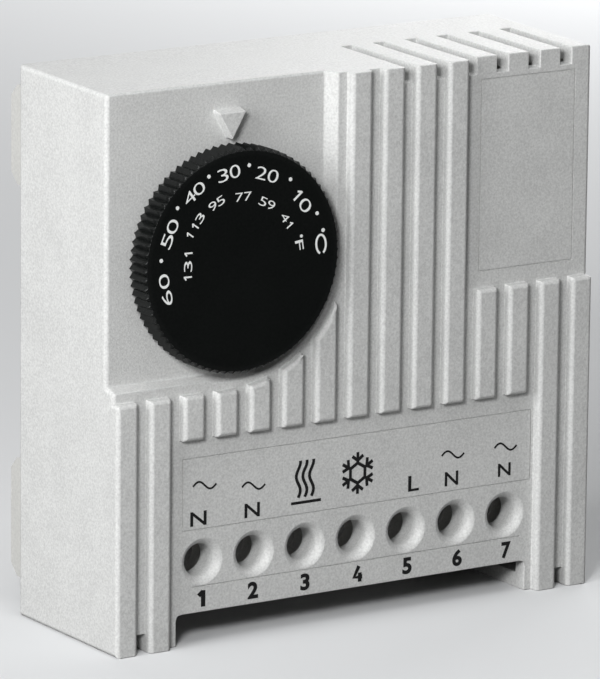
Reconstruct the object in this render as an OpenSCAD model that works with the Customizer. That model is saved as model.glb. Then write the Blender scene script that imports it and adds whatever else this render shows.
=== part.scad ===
// Cabinet thermostat with a setting dial, seven screw terminals and a clip for a 35 mm rail.
// Depths are counted forward from the cover's back edge; behind that edge they are negative.

/* [Housing] */
// Width of the housing
housing_w = 71; // [70:0.5:80]
// Height of the housing at its back edge
housing_h = 71; // [70:0.5:80]
// Depth from the cover's back edge to the dial panel
panel_d = 21; // [20.5:0.25:26]
// Step from the dial panel up to the lettered field
field_step = 1.8; // [1:0.1:3]
// Height of the ribs above the lettered field
rib_rise = 1.2; // [0.6:0.1:2]
// Wall of the cover
cover_wall = 2; // [1.4:0.1:2.4]
// Fall of the top face from its back edge to the rib tops
top_fall = 0.4; // [0:0.1:1]

/* [Front relief] */
// Width of one rib
rib_w = 3.1; // [2.4:0.1:3.8]
// Chamfer along each rib
rib_chamfer = 0.35; // [0.1:0.05:0.6]
// Height where the ribs end above the terminal legends
rib_foot_z = 26.4; // [25:0.2:28]
// Height of the short ribs under the dial panel
low_rib_top_z = 32.2; // [31:0.2:33]
// Height of the ribs under the badge field
badge_rib_top_z = 40.8; // [38:0.2:44]
// Height of the lower edge of the dial panel
panel_z = 33.5; // [33:0.1:34.5]
// Distance from the dial panel's right edge to the first full rib
panel_rib_gap = 1.35; // [1:0.05:1.8]
// Slope of the step round the dial panel
step_slope = 0.9; // [0.3:0.1:1.2]
// Width of the engraved field outlines
engrave_w = 0.2; // [0.1:0.05:0.4]
// Depth of the engraved field outlines
engrave_deep = 0.15; // [0.05:0.05:0.4]
// Half width of the raised pointer
pointer_half_w = 1.95; // [1.4:0.05:2.4]
// Height of the raised pointer from tip to base
pointer_h = 3.4; // [2.6:0.05:3.6]
// How far the pointer stands above the panel
pointer_rise = 1.5; // [0.6:0.1:2]

/* [Openings] */
// Width of a vent slot
vent_w = 1.75; // [1:0.05:1.9]
// How far a vent slot cuts past the top wall
vent_past = 0.2; // [0.1:0.1:1.5]
// Where the vent slots start, counted from the back edge
vent_back_d = 9; // [6:0.5:12]
// Height of the cable cut-out under the terminals
cable_cut_h = 4; // [3:0.1:4.8]
// Corner radius of the cable cut-out
cable_cut_r = 0.5; // [0.3:0.1:2]
// Height of the drain slots in the outer grooves
drain_h = 2.3; // [1:0.1:4]
// Width of the drain slots
drain_w = 1.5; // [0.6:0.1:1.6]

/* [Dial] */
// Distance of the dial's axis from the left side
dial_from_left = 17.3; // [17:0.05:17.5]
// Distance of the dial's axis below the top
dial_from_top = 22.2; // [22:0.1:23]
// Diameter of the dial over its teeth
dial_dia = 28.6; // [26:0.1:29.2]
// Height of the dial from its back rim to its face
dial_h = 3.8; // [3.4:0.1:5]
// Gap between the dial panel and the dial
dial_gap = 0.4; // [0.2:0.05:0.8]
// Number of grip teeth round the dial
dial_teeth = 80; // [60:1:90]
// Depth of a grip tooth
tooth_deep = 0.4; // [0.2:0.05:0.6]
// Wall of the dial's rim
dial_rim = 1.8; // [1.2:0.1:2.4]
// Thickness of the dial's face
dial_face = 1.4; // [1:0.1:1.8]
// Clear ring between the dial and the edge of the panel step
dial_pocket_gap = 1.45; // [0.6:0.05:1.6]
// Clear ring between the dial and the ribs that its circle cuts
dial_rib_gap = 2.2; // [1.4:0.1:2.6]
// Turn from rest to the lowest setting
turn_to_cold = 65.5; // [20:0.5:80]
// Turn from rest to the highest setting
turn_to_hot = 100.6; // [60:0.1:110]

/* [Spindle and setting mechanism] */
// Diameter of the setting spindle
spindle_dia = 6; // [5:0.1:6.4]
// Running clearance of pins and spindle in their holes
running_gap = 0.05; // [0.02:0.01:0.1]
// Middle radius of the setting cam
cam_r = 4.7; // [4.2:0.1:5.2]
// Turn of the setting lever for one degree of the dial
lever_ratio_share = 0.0145; // [0.005:0.0005:0.02]
// Air between the cam and the lever's follower
follower_gap = 0.12; // [0.08:0.02:0.3]
// Distance from the lever's pivot to the dial's axis
lever_arm = 11.6; // [10:0.1:12]
// Width of the lever's bar
lever_bar = 2.6; // [2:0.1:3.2]
// Thickness of the lever's sheet
lever_sheet = 1.6; // [1:0.1:2]
// Thickness of the bimetal strip
bimetal_t = 0.8; // [0.5:0.05:1]
// Width of the bimetal strip
bimetal_w = 5.6; // [4:0.1:6.4]
// Thickness of the switch frame's sheet
frame_sheet = 1; // [0.8:0.1:1.4]
// Diameter of the lever's pivot pin
pivot_dia = 2; // [1.6:0.1:2.4]

/* [Switch contacts] */
// Air gap of the changeover contact
contact_gap = 0.6; // [0.4:0.05:0.8]
// Length of the contact arm from its root to the contact
arm_len = 19.4; // [16:0.1:20]
// Thickness of the contact arm
arm_t = 0.4; // [0.3:0.05:0.6]
// Width of the contact arm
arm_w = 5; // [4:0.1:6]
// Radius of a contact rivet
contact_r = 1.3; // [0.9:0.1:1.5]
// Height of a contact rivet's head
contact_h = 0.6; // [0.4:0.05:0.8]
// Thickness of the contact strips
contact_sheet = 0.8; // [0.6:0.1:1.2]
// Length of the insulator that holds the contact strips
contact_block_len = 2.95; // [2.8:0.05:3.4]
// Closed contacts are drawn this far apart
closed_gap = 0.03; // [0.01:0.01:0.05]

/* [Circuit board] */
// Thickness of the circuit board
board_t = 1.6; // [1:0.1:2]
// Gap between the board and the housing's screw bosses
board_boss_gap = 0.35; // [0.2:0.05:1]
// Height of the board's lower edge
board_z = 22.4; // [21:0.2:24]
// Length of a feedback resistor
resistor_len = 9; // [6:0.5:10]
// Radius of a feedback resistor
resistor_r = 1.7; // [1.2:0.1:1.8]
// Distance between two feedback resistors
resistor_pitch = 4.6; // [4.2:0.1:5]
// Number of feedback resistors
resistor_count = 4; // [2:1:4]

/* [Terminals] */
// Distance of the first terminal from the left side
first_terminal_x = 13.1; // [12.8:0.1:13.4]
// Distance of the last terminal from the right side
last_terminal_x = 12.3; // [12:0.1:12.6]
// Height of the terminal screws
terminal_z = 10.55; // [10.4:0.05:11.6]
// Radius of a screwdriver hole
access_r = 2.1; // [2:0.05:2.3]
// Rim radius of a screwdriver hole's countersink
access_rim_r = 2.95; // [2.5:0.05:3.2]
// Depth of that countersink
access_sink = 1; // [0.4:0.1:1.6]
// Radius of a terminal screw's shank
clamp_screw_r = 1.5; // [1.2:0.1:1.6]
// Radius of a terminal screw's head
clamp_head_r = 1.95; // [1.8:0.05:2]
// Height of a terminal screw's head
clamp_head_h = 2; // [1.2:0.1:2.4]
// Lift of a clamp cage from open to closed
clamp_lift = 1.8; // [1:0.1:2]
// Clear space for the wire in an open clamp
wire_space = 2.6; // [2:0.1:2.8]
// Wall of a clamp cage
cage_wall = 1.2; // [0.8:0.1:1.4]
// Room between two clamp cages
cage_side_room = 2.2; // [2:0.1:2.8]
// Length of a clamp cage along the wire
cage_len = 5; // [4:0.1:6]
// Thickness of a contact bar
bar_t = 1; // [0.8:0.1:1.2]
// Gap between a contact bar and the cage's walls
bar_side_gap = 0.1; // [0.05:0.05:0.5]

/* [Base plate and rail clip] */
// Thickness of the base plate
base_t = 2.4; // [2:0.1:3]
// Gap between the base plate and the cover's walls
base_gap = 0.3; // [0.1:0.05:0.5]
// How far the rail blocks stand behind the cover
block_deep = 7.5; // [6.5:0.1:9]
// Distance of the rail blocks' ends from the cover's sides
block_inset = 3.3; // [2.8:0.1:4]
// Chamfer along the rail blocks
block_chamfer = 1.5; // [0.5:0.1:2]
// Height of the gap between the rail blocks
rail_gap = 35.4; // [35.2:0.1:36]
// How far the rail's middle lies above the housing's middle
rail_rise = 1.1; // [0.5:0.1:1.5]
// Distance of the upper rail block below the top
upper_block_inset = 3.9; // [3.4:0.1:5]
// Distance of the lower rail block above the foot
lower_block_inset = 3.3; // [3:0.1:4.4]
// Thickness of the rail's sheet
rail_sheet = 1; // [0.9:0.1:1.3]
// How far the hooks reach behind the rail
hook_reach = 2.2; // [1.4:0.1:2.6]
// Thickness of a hook
hook_t = 2.8; // [1.8:0.1:3]
// Width of a hook
hook_w = 10; // [6:0.5:12]
// Distance of each hook from the middle
hook_x = 15; // [11:0.5:18]
// Width of the rail clip
clip_w = 20; // [16:0.5:22]
// Thickness of the rail clip
clip_t = 3.6; // [3.2:0.1:4]
// Travel of the rail clip
clip_travel = 2.6; // [2:0.1:2.8]
// Clearance round the rail clip
clip_gap = 0.3; // [0.2:0.05:0.4]
// Outer diameter of the clip's spring
spring_dia = 3.2; // [2.6:0.1:3.4]
// Wire of the clip's spring
spring_wire = 0.5; // [0.4:0.05:0.6]
// Pitch of the clip's spring
spring_pitch = 1.1; // [0.9:0.05:1.4]
// Radius of a housing screw's shank
housing_screw_r = 1.25; // [1:0.05:1.35]
// Radius of a housing screw's head
housing_head_r = 1.9; // [1.6:0.05:2]
// Distance of the housing screws from the sides
housing_screw_inset = 6.2; // [6.1:0.1:6.4]
// Height of the lower housing screws
low_screw_z = 9.5; // [8:0.5:12]

/* [Hidden] */
$fn = 48;
// Overrun of every cut past the face that it opens
over = 0.5;
// Sink of a joined shape into what carries it
sink = 0.2;
// Direction straight up, in degrees from +X
upright = 90;
half_w = housing_w / 2;
field_d = panel_d + field_step;
rib_top_d = field_d + rib_rise;
dial_back_d = panel_d + dial_gap;
dial_front_d = dial_back_d + dial_h;
dial_x = dial_from_left - half_w;
dial_z = housing_h - dial_from_top;
dial_r = dial_dia / 2;
// The whole part is centred on the origin from front to back
edge_y = (dial_front_d - block_deep) / 2;
function y_at(depth) = edge_y - depth;
// Points of an arc about the origin, from one angle to the other
function arc(r, from, to, steps) =
    [for (i = [0:steps]) let (a = from + (to - from) * i / steps) r * [cos(a), sin(a)]];

// Ribs and fields of the front
rib_count = 15;
// Ribs in each group, from the left, and the first of each; two more stand at the right edge
edge_rib_count = 2;
low_rib_count = 2;
dial_rib_count = 3;
full_rib_count = 4;
vent_count = 6;
low_rib = edge_rib_count;
dial_rib = low_rib + low_rib_count;
full_rib = dial_rib + dial_rib_count;
badge_rib = full_rib + full_rib_count;
edge_rib = rib_count - edge_rib_count;
rib_pitch = (housing_w - rib_w) / (rib_count - 1);
function rib_left(i) = i * rib_pitch - half_w;
panel_x = rib_left(full_rib) - panel_rib_gap;
dial_pocket_r = dial_r + dial_pocket_gap;
rib_circle_r = dial_r + dial_rib_gap;
pointer_gap = 0.55;
field_left = rib_left(low_rib - 1) + rib_w;
field_right = rib_left(edge_rib);

// Outlines of the badge field, the legend field and the number strip
badge_left = rib_left(badge_rib - 1) + rib_w;
badge_side = 2.45;
badge_foot = 2.05;
badge_head = 2.85;
legend_side = 2.2;
legend_end = 0.35;
legend_over_holes = 4.05;
legend_under_ribs = 2.4;
legend_left = field_left + legend_side;
legend_right = field_right - legend_end;
number_strip_h = 3.25;
cut_side_left = 1.4;
cut_side_right = 1.1;
cut_left = field_left + cut_side_left;
cut_right = field_right - cut_side_right;

// Depths inside the cover
inner_panel_d = panel_d - cover_wall;
inner_field_d = field_d - cover_wall;

// Terminals
terminal_count = 7;
terminal_pitch = (housing_w - first_terminal_x - last_terminal_x) / (terminal_count - 1);
cage_w = terminal_pitch - cage_side_room;
bar_w = cage_w - 2 * cage_wall - 2 * bar_side_gap;
cage_clear = 1.1;
cage_nut_t = 1.4;
bar_clear = 0.5;
bar_over = 0.4;
bar_foot = 3;
tip_clear = 0.1;
head_clear = 0.1;
head_sunk = 1;
neck_t = 2;
cell_gap = 0.25;
cell_wall = 0.5;
shank_gap = 0.15;
screw_slot_w = 0.7;
block_lift = 0.5;
block_rise = 9;
function terminal_x(i) = first_terminal_x - half_w + i * terminal_pitch;
cage_back_d = base_t + cage_clear;
bar_d = cage_back_d + cage_wall + wire_space;
bar_front_d = bar_d + bar_t;
cage_front_d = bar_front_d + bar_clear;
cage_end_d = cage_front_d + cage_nut_t;
head_seat_d = cage_end_d + clamp_lift + neck_t;
head_d = head_seat_d + head_clear;
head_front_d = head_d + clamp_head_h;
block_back_d = base_t + closed_gap;
block_front_d = head_front_d + head_sunk;
block_low_z = cable_cut_h + block_lift;
block_top_z = terminal_z + block_rise;
block_side = cage_w / 2 + cell_gap + cell_wall;
tube_wall = 1.1;
tube_gap = 0.4;
tube_back_d = block_front_d + tube_gap;

// Rail blocks and the screw bosses over them
rail_z = housing_h / 2 + rail_rise;
rail_low_z = rail_z - rail_gap / 2;
rail_top_z = rail_z + rail_gap / 2;
upper_top_z = housing_h - upper_block_inset;
lower_low_z = lower_block_inset;
high_screw_inset = 6.1;
high_screw_z = upper_top_z - high_screw_inset;
boss_wall = 1.1;
boss_r = housing_screw_r + boss_wall;

// Circuit board; its front face carries the contact bars
board_front_d = bar_d;
board_d = board_front_d - board_t;
board_side = 0.7;
board_step_gap = 1.3;
board_top_gap = 5;
board_w = 2 * (half_w - housing_screw_inset - boss_r - board_boss_gap);
board_wide_h = high_screw_z - boss_r - board_step_gap - board_z;
board_h = housing_h - board_top_gap - board_z;
board_hole_gap = 0.3;
standoff_r = 2;
standoff_inset = 3;
low_standoff_rise = 7;
high_standoff_fall = 2.7;
board_peg_r = 1.1;
board_peg_rise = 0.8;
resistor_side = 3;
resistor_rise = 12;
resistor_lift = 0.2;
lead_r = 0.35;
lead_foot_r = 0.28;
lead_len = 1.5;

// Switch frame and setting mechanism
lever_room = 2.4;
bridge_room = 1.8;
foot_front_d = board_front_d + frame_sheet;
lever_d = foot_front_d + lever_room;
lever_front_d = lever_d + lever_sheet;
bridge_d = lever_front_d + bridge_room;
bridge_front_d = bridge_d + frame_sheet;
cam_side = 0.4;
cam_from = -70;
cam_to = 240;
cam_steps = 72;
cam_rate = lever_arm * lever_ratio_share * PI / 180;
follower_r = 1.2;
nose_show = 0.6;
pivot_x = dial_x - lever_arm;
pivot_r = pivot_dia / 2;
pin_end = 0.5;
follower_z = dial_z + cam_r + follower_gap + follower_r;
lever_low_z = follower_z - follower_r + nose_show;
lever_z = lever_low_z + lever_bar / 2;
lever_top_z = lever_low_z + lever_bar;
frame_half = 8;
frame_left = dial_x - frame_half;
frame_right = dial_x + frame_half;
flange_gap = 0.45;
flange_len = 7.5;
flange_t = 1;
flange_from_x = frame_right + flange_gap;
lever_end_x = flange_from_x + flange_len;
strip_forward = 1.3;
strip_z = lever_top_z + flange_t;
strip_top_z = strip_z + bimetal_t;
block_gap = 0.2;
block_end_gap = 1;
block_end_x = half_w - cover_wall - block_end_gap;
block_x = block_end_x - contact_block_len;
contact_x = block_x - block_gap - contact_r;
strip_to_x = contact_x - contact_r;
strip_mid_d = (lever_d + lever_front_d) / 2 + strip_forward;
rivet_r = 0.9;
rivet_head = 0.6;
rivet_head_t = 0.5;
rivet_inset = 2;
rivet_pitch = 3.5;
rivet_forward = 1;
frame_below = 8.4;
frame_above = 3.2;
leg_inset = 2;
ear_r = 2.4;
eye_r = 2.2;
frame_low_z = dial_z - frame_below;
frame_top_z = strip_top_z + frame_above;
leaf_t = 0.3;
leaf_foot = 3;
leaf_reach = 4;
leaf_curl = 0.8;
leaf_gap = 0.1;
calibration_r = 1.25;
calibration_inset = 3;
calibration_x = strip_to_x - calibration_inset;
tip_drop = 2.6;
cap_rim = 0.9;
cap_t = 1.3;
cap_slot_w = 0.6;
cap_slot_deep = 0.6;

// Spindle, bush and the stop under the dial
spindle_r = spindle_dia / 2;
spindle_pivot_r = spindle_r / 2;
spindle_step = 0.5;
spindle_neck_r = spindle_r - spindle_step;
end_play = 0.15;
bush_wall = 1;
bush_r = spindle_r + bush_wall;
bush_flange_r = bush_r + bush_wall;
bush_flange_t = 0.8;
bush_back = 0.6;
bush_front_d = bridge_front_d + bush_flange_t;
ring_t = 0.6;
ring_play = 0.2;
ring_rim = 1.4;
ring_from = 45;
ring_to = 330;
groove_d = bush_front_d + ring_play;
groove_front_d = groove_d + ring_t + 2 * closed_gap;
hub_wall = 1.1;
hub_gap = 0.5;
hub_past = 0.6;
hub_seat = 0.1;
bore_end = 0.3;
hub_r = spindle_r + hub_wall;
hub_hole_r = hub_r + hub_gap;
hub_back_d = inner_panel_d - hub_past;
dial_inner_d = dial_front_d - dial_face;
bore_front_d = dial_inner_d - bore_end;
stop_inner_r = 9;
stop_outer_r = 10.6;
stop_rise = 1.6;
stop_clear_d = 0.5;
// Widths in degrees of the lug and of its clearance in all
stop_lug = 12;
stop_clear = 1.2;
stop_arc = 360 - turn_to_cold - turn_to_hot - stop_lug - stop_clear;
stop_mid = upright + (turn_to_hot - turn_to_cold) / 2;

// Switch contacts
arm_back = 0.5;
arm_drop = 5.3;
arm_end = 0.2;
arm_mid_d = strip_mid_d - arm_back;
arm_back_d = arm_mid_d - arm_w / 2;
arm_front_d = arm_mid_d + arm_w / 2;
arm_z = strip_z - arm_drop;
arm_top_z = arm_z + arm_t;
arm_root_x = contact_x - arm_len;
window_from = 3;
window_len = 6;
contact_stem_r = contact_r / 2;
low_contact_z = arm_z - contact_h - closed_gap;
low_strip_z = low_contact_z - contact_h - contact_sheet;
high_contact_z = arm_top_z + contact_h + contact_gap + closed_gap;
high_strip_z = high_contact_z + contact_h;
strip_nose = 0.4;
strip_tail = 0.5;
block_below = 2.7;
block_above = 0.8;
block_cap = 1;
magnet_back = 7.4;
magnet_half = 2;
magnet_gap = 0.4;
armature_t = 0.8;
magnet_x = contact_x - magnet_back;
shelf_drop = 6;
shelf_lift = 0.3;
shelf_end = 0.6;
shelf_z = arm_z - shelf_drop;
post_w = 2.4;
post_over = 1;
post_margin = 0.8;
post_cap = 1.2;
notch_gap = 0.1;
post_x = arm_root_x - post_over;
post_front_d = arm_front_d + post_margin;

// Base plate, rail blocks and housing screws
base_half_w = half_w - cover_wall - base_gap;
base_low_z = cover_wall + base_gap;
base_top_z = housing_h - cover_wall - top_fall - base_gap;
block_half_w = half_w - block_inset;
pocket_wall = 1.6;
pocket_floor = 1.4;
head_room = 0.2;
hole_room = 0.15;
boss_gap = 0.2;
housing_head_h = 1.8;
head_seat_sink = 3.4;
cross_w = 0.6;
cross_len = 2.5;
cross_deep = 1;
screw_end_room = 2;
housing_seat_d = head_seat_sink - block_deep;
boss_back_d = base_t + boss_gap;
boss_bore_d = inner_panel_d - cover_wall;
housing_screw_end_d = boss_bore_d - screw_end_room;
pocket_x = housing_screw_inset + housing_head_r + head_room + pocket_wall - half_w;

// Rail clip, its track and its spring
rail_play = 0.35;
hook_nose = 0.5;
clip_lip = 2;
clip_foot = 1.2;
spring_pin_r = 0.9;
spring_pin_h = 1.8;
window_gap = 0.6;
peg_h = 1.2;
spring_cover = 1.9;
driver_half = 2;
driver_h = 2.4;
driver_wall = 1.2;
hook_front_d = -rail_sheet - rail_play;
hook_back_d = hook_front_d - hook_t;
clip_back_d = hook_front_d - clip_t;
track_floor_d = hook_front_d + clip_gap;
track_half = clip_w / 2 + clip_gap;
clip_top_z = rail_low_z + hook_reach;
clip_low_z = lower_low_z + clip_gap;
peg_z = clip_low_z + clip_travel + clip_foot;
spring_r = spring_dia / 2;
spring_low_z = peg_z + peg_h;
spring_top_z = rail_low_z - spring_cover;
spring_mid_d = hook_front_d - clip_t / 2;

// A flat outline in X and Z, carried from one depth to another
module slab(from_d, to_d)
    translate([0, y_at(from_d), 0]) rotate([90, 0, 0]) linear_extrude(to_d - from_d) children();

// A box between two X, two depths and two heights
module bar(x0, x1, d0, d1, z0, z1)
    translate([x0, y_at(d1), z0]) cube([x1 - x0, d1 - d0, z1 - z0]);

// A rod or cone that points forward
module rod(x, z, d0, d1, r0, r1 = -1)
    translate([x, y_at(d0), z]) rotate([90, 0, 0])
        cylinder(h = d1 - d0, r1 = r0, r2 = r1 < 0 ? r0 : r1);

// A rod that points up
module pillar(x, d, z0, z1, r)
    translate([x, y_at(d), z0]) cylinder(h = z1 - z0, r = r);

// An outline of depth and height, carried from one X to another
module beam(x0, x1, points)
    translate([x0, 0, 0]) rotate([90, 0, 90])
        linear_extrude(x1 - x0) polygon([for (p = points) [y_at(p[0]), p[1]]]);

// An outline of X and depth, carried from one height to another
module column(z0, z1, points)
    translate([0, 0, z0]) linear_extrude(z1 - z0) polygon([for (p = points) [p[0], y_at(p[1])]]);

// A sector of a ring
module ring_sector(r0, r1, from, to, steps)
    polygon(concat(arc(r0, from, to, steps), arc(r1, to, from, steps)));

// The places of the four housing screws
module at_housing_screws()
    for (x = [housing_screw_inset - half_w, half_w - housing_screw_inset], z = [low_screw_z, high_screw_z])
        translate([x, 0, z]) children();

// The places of the seven terminals
module at_terminals()
    for (i = [0:terminal_count - 1])
        translate([terminal_x(i), 0, terminal_z]) children();

// One rib with chamfered edges, standing on the lettered field
module rib(i, z0, z1) {
    x0 = rib_left(i);
    x1 = x0 + rib_w;
    root_d = field_d - sink;
    edge_d = rib_top_d - rib_chamfer;
    c = rib_chamfer;
    intersection() {
        column(z0, z1, [[x0, root_d], [x1, root_d], [x1, edge_d], [x1 - c, rib_top_d],
            [x0 + c, rib_top_d], [x0, edge_d]]);
        beam(x0 - over, x1 + over, [[root_d, z0], [root_d, z1], [edge_d, z1], [rib_top_d, z1 - c],
            [rib_top_d, z0 + c], [edge_d, z0]]);
    }
}

// The ribs that end at a circle round the dial
module dial_side_ribs()
    difference() {
        for (i = [dial_rib:full_rib - 1]) rib(i, rib_foot_z, dial_z);
        rod(dial_x, dial_z, panel_d, rib_top_d + over, rib_circle_r);
        rod(dial_x, dial_z, rib_top_d - rib_chamfer, rib_top_d + over,
            rib_circle_r, rib_circle_r + rib_chamfer + over);
    }

module ribs() {
    for (i = [0:low_rib - 1]) rib(i, -rib_chamfer, low_rib_top_z);
    for (i = [low_rib:dial_rib - 1]) rib(i, rib_foot_z, low_rib_top_z);
    dial_side_ribs();
    for (i = [full_rib:badge_rib - 1]) rib(i, rib_foot_z, housing_h + rib_chamfer);
    for (i = [badge_rib:edge_rib - 1]) rib(i, rib_foot_z, badge_rib_top_z);
    for (i = [edge_rib:rib_count - 1]) rib(i, -rib_chamfer, badge_rib_top_z);
}

// The lettered field: a right-hand part, a lower part and a corner, hollowed round the dial
module field() {
    root_d = panel_d - sink;
    hollow_r = dial_pocket_r - step_slope;
    difference() {
        union() {
            column(0, housing_h, [[panel_x - step_slope, root_d], [panel_x - step_slope, panel_d],
                [panel_x, field_d], [half_w, field_d], [half_w, root_d]]);
            beam(-half_w, half_w, [[root_d, 0], [field_d, 0], [field_d, panel_z],
                [panel_d, panel_z + step_slope / 2], [root_d, panel_z + step_slope / 2]]);
            bar(dial_x, panel_x, root_d, field_d, panel_z - sink, dial_z);
        }
        rod(dial_x, dial_z, root_d - over, panel_d, hollow_r);
        rod(dial_x, dial_z, panel_d, field_d, hollow_r, dial_pocket_r);
        rod(dial_x, dial_z, field_d, field_d + over, dial_pocket_r);
    }
}

// The cover's outer form; its top face falls toward the front
module cover_form()
    intersection() {
        union() {
            bar(-half_w, half_w, 0, panel_d, 0, housing_h);
            field();
            ribs();
        }
        beam(-half_w, half_w, [[0, 0], [rib_top_d, 0], [rib_top_d, housing_h - top_fall],
            [0, housing_h]]);
    }

// The space inside the cover
module cover_space() {
    side = half_w - cover_wall;
    top = housing_h - cover_wall - top_fall;
    bar(-side, side, -over, inner_panel_d, cover_wall, top);
    bar(panel_x + step_slope, side, -over, inner_field_d, cover_wall, top);
    bar(-side, side, -over, inner_field_d, cover_wall, panel_z - cover_wall);
}

// The raised triangle that the dial's scale is read against
module pointer() {
    tip_z = dial_z + dial_r + pointer_gap;
    slab(panel_d - sink, panel_d + pointer_rise)
        polygon([[dial_x, tip_z], [dial_x + pointer_half_w, tip_z + pointer_h],
            [dial_x - pointer_half_w, tip_z + pointer_h]]);
}

// The cut-out for the cables, with rounded upper corners
module cable_cut() {
    w = cut_right - cut_left;
    r = cable_cut_r;
    slab(-over, rib_top_d + over) {
        translate([cut_left, -over]) square([w, cable_cut_h + over - r]);
        translate([cut_left + r, -over]) square([w - 2 * r, cable_cut_h + over]);
        for (x = [cut_left + r, cut_right - r])
            translate([x, cable_cut_h - r]) circle(r);
    }
}

// The vent slots over the top edge and the drain slots at the foot
module slots() {
    vent_floor_z = housing_h - top_fall - cover_wall - vent_past;
    for (i = [rib_count - vent_count:rib_count - 1])
        bar(rib_left(i) - vent_w, rib_left(i), vent_back_d, rib_top_d + over,
            vent_floor_z, housing_h + over);
    for (i = [1, rib_count - 1])
        bar(rib_left(i) - drain_w, rib_left(i), inner_field_d - over, rib_top_d + over, -over, drain_h);
}

// A fine engraved rectangle
module engraved_frame(x0, x1, z0, z1)
    slab(field_d - engrave_deep, field_d + over)
        difference() {
            translate([x0, z0]) square([x1 - x0, z1 - z0]);
            translate([x0 + engrave_w, z0 + engrave_w])
                square([x1 - x0 - 2 * engrave_w, z1 - z0 - 2 * engrave_w]);
        }

module field_outlines() {
    strip_side = access_rim_r / 2;
    strip_top_z = cable_cut_h + number_strip_h;
    engraved_frame(badge_left + badge_side, half_w - badge_side,
        badge_rib_top_z + badge_foot, housing_h - top_fall - badge_head);
    engraved_frame(legend_left, legend_right, terminal_z + legend_over_holes,
        rib_foot_z - legend_under_ribs);
    bar(terminal_x(0) - strip_side, legend_right - strip_side, field_d - engrave_deep,
        field_d + over, strip_top_z, strip_top_z + engrave_w);
}

// The lug that stops the dial at both ends of its scale
module stop_lug()
    slab(panel_d - sink, dial_back_d + stop_rise)
        translate([dial_x, dial_z])
            ring_sector(stop_inner_r, stop_outer_r, -upright - stop_lug / 2, -upright + stop_lug / 2, 4);

module cover() color("gainsboro")
    difference() {
        union() {
            difference() {
                cover_form();
                // The space leaves the screw bosses and the screwdriver tubes standing
                difference() {
                    cover_space();
                    at_housing_screws() rod(0, 0, boss_back_d, field_d, boss_r);
                    at_terminals() rod(0, 0, tube_back_d, field_d, access_r + tube_wall);
                }
            }
            pointer();
            stop_lug();
        }
        cable_cut();
        slots();
        field_outlines();
        rod(dial_x, dial_z, inner_panel_d - over, panel_d + over, hub_hole_r);
        at_housing_screws() rod(0, 0, boss_back_d - over, boss_bore_d, housing_screw_r + closed_gap);
        at_terminals() {
            rod(0, 0, tube_back_d - over, field_d + over, access_r);
            rod(0, 0, field_d - access_sink, field_d, access_r, access_rim_r);
            rod(0, 0, field_d, field_d + over, access_rim_r);
        }
    }

// One rail block with chamfered edges
module rail_block(z0, z1) {
    slope_d = block_chamfer - block_deep;
    beam(-block_half_w, block_half_w, [[sink, z0], [sink, z1], [slope_d, z1],
        [-block_deep, z1 - block_chamfer], [-block_deep, z0 + block_chamfer], [slope_d, z0]]);
}

// A row of pockets in a rail block, open to the back
module block_pockets(x0, x1, count, z0, z1) {
    step = (x1 - x0 + pocket_wall) / count;
    for (i = [0:count - 1])
        bar(x0 + i * step, x0 + (i + 1) * step - pocket_wall, -block_deep - over, -pocket_floor,
            z0 + pocket_wall, z1 - pocket_wall);
}

// A fixed hook that reaches behind the rail's upper lip
module rail_hook(x) {
    tip_z = rail_top_z - hook_reach;
    beam(x - hook_w / 2, x + hook_w / 2, [[hook_front_d, rail_top_z + sink],
        [hook_front_d, tip_z + hook_nose], [hook_front_d - hook_nose, tip_z],
        [hook_front_d - hook_t / 2, tip_z], [hook_back_d, rail_top_z],
        [hook_back_d, rail_top_z + sink]]);
}

// The track of the rail clip, narrower at the back so that the clip stays in
module clip_track() {
    mouth_half = track_half - clip_lip;
    bar(-track_half, track_half, clip_back_d - clip_gap, track_floor_d, lower_low_z - over,
        rail_low_z + over);
    bar(-mouth_half, mouth_half, -block_deep - over, clip_back_d, lower_low_z - over,
        rail_low_z + over);
}

// The peg that carries the clip's spring, with a pin inside the coil
module spring_peg() {
    bar(-spring_r, spring_r, clip_back_d + clip_gap, track_floor_d + sink, peg_z, spring_low_z);
    pillar(0, spring_mid_d, spring_low_z - sink, spring_low_z + spring_pin_h, spring_pin_r);
}

// Four places under the circuit board
module at_standoffs()
    for (x = [-1, 1], z = [board_z + low_standoff_rise, board_z + board_h - high_standoff_fall])
        translate([x * (board_w / 2 - standoff_inset), 0, z]) children();

module base_plate() color("silver") {
    difference() {
        union() {
            bar(-base_half_w, base_half_w, 0, base_t, base_low_z, base_top_z);
            rail_block(rail_top_z, upper_top_z);
            rail_block(lower_low_z, rail_low_z);
            for (x = [-hook_x, hook_x]) rail_hook(x);
            at_standoffs() {
                rod(0, 0, base_t - sink, board_d, standoff_r);
                rod(0, 0, board_d - sink, board_front_d + board_peg_rise, board_peg_r);
            }
        }
        block_pockets(pocket_x, -pocket_x, 4, rail_top_z, upper_top_z);
        block_pockets(pocket_x, -track_half - pocket_wall, 1, lower_low_z, rail_low_z);
        block_pockets(track_half + pocket_wall, -pocket_x, 1, lower_low_z, rail_low_z);
        clip_track();
        at_housing_screws() {
            rod(0, 0, -block_deep - over, housing_seat_d, housing_head_r + head_room);
            rod(0, 0, -block_deep, base_t + over, housing_screw_r + hole_room);
        }
    }
    spring_peg();
}

module housing_screws() color("darkgray")
    at_housing_screws() {
        head_back_d = housing_seat_d - housing_head_h;
        long = cross_len / 2;
        wide = cross_w / 2;
        difference() {
            rod(0, 0, head_back_d, housing_seat_d, housing_head_r);
            bar(-long, long, head_back_d - over, head_back_d + cross_deep, -wide, wide);
            bar(-wide, wide, head_back_d - over, head_back_d + cross_deep, -long, long);
        }
        rod(0, 0, housing_seat_d - sink, housing_screw_end_d, housing_screw_r);
    }

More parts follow.
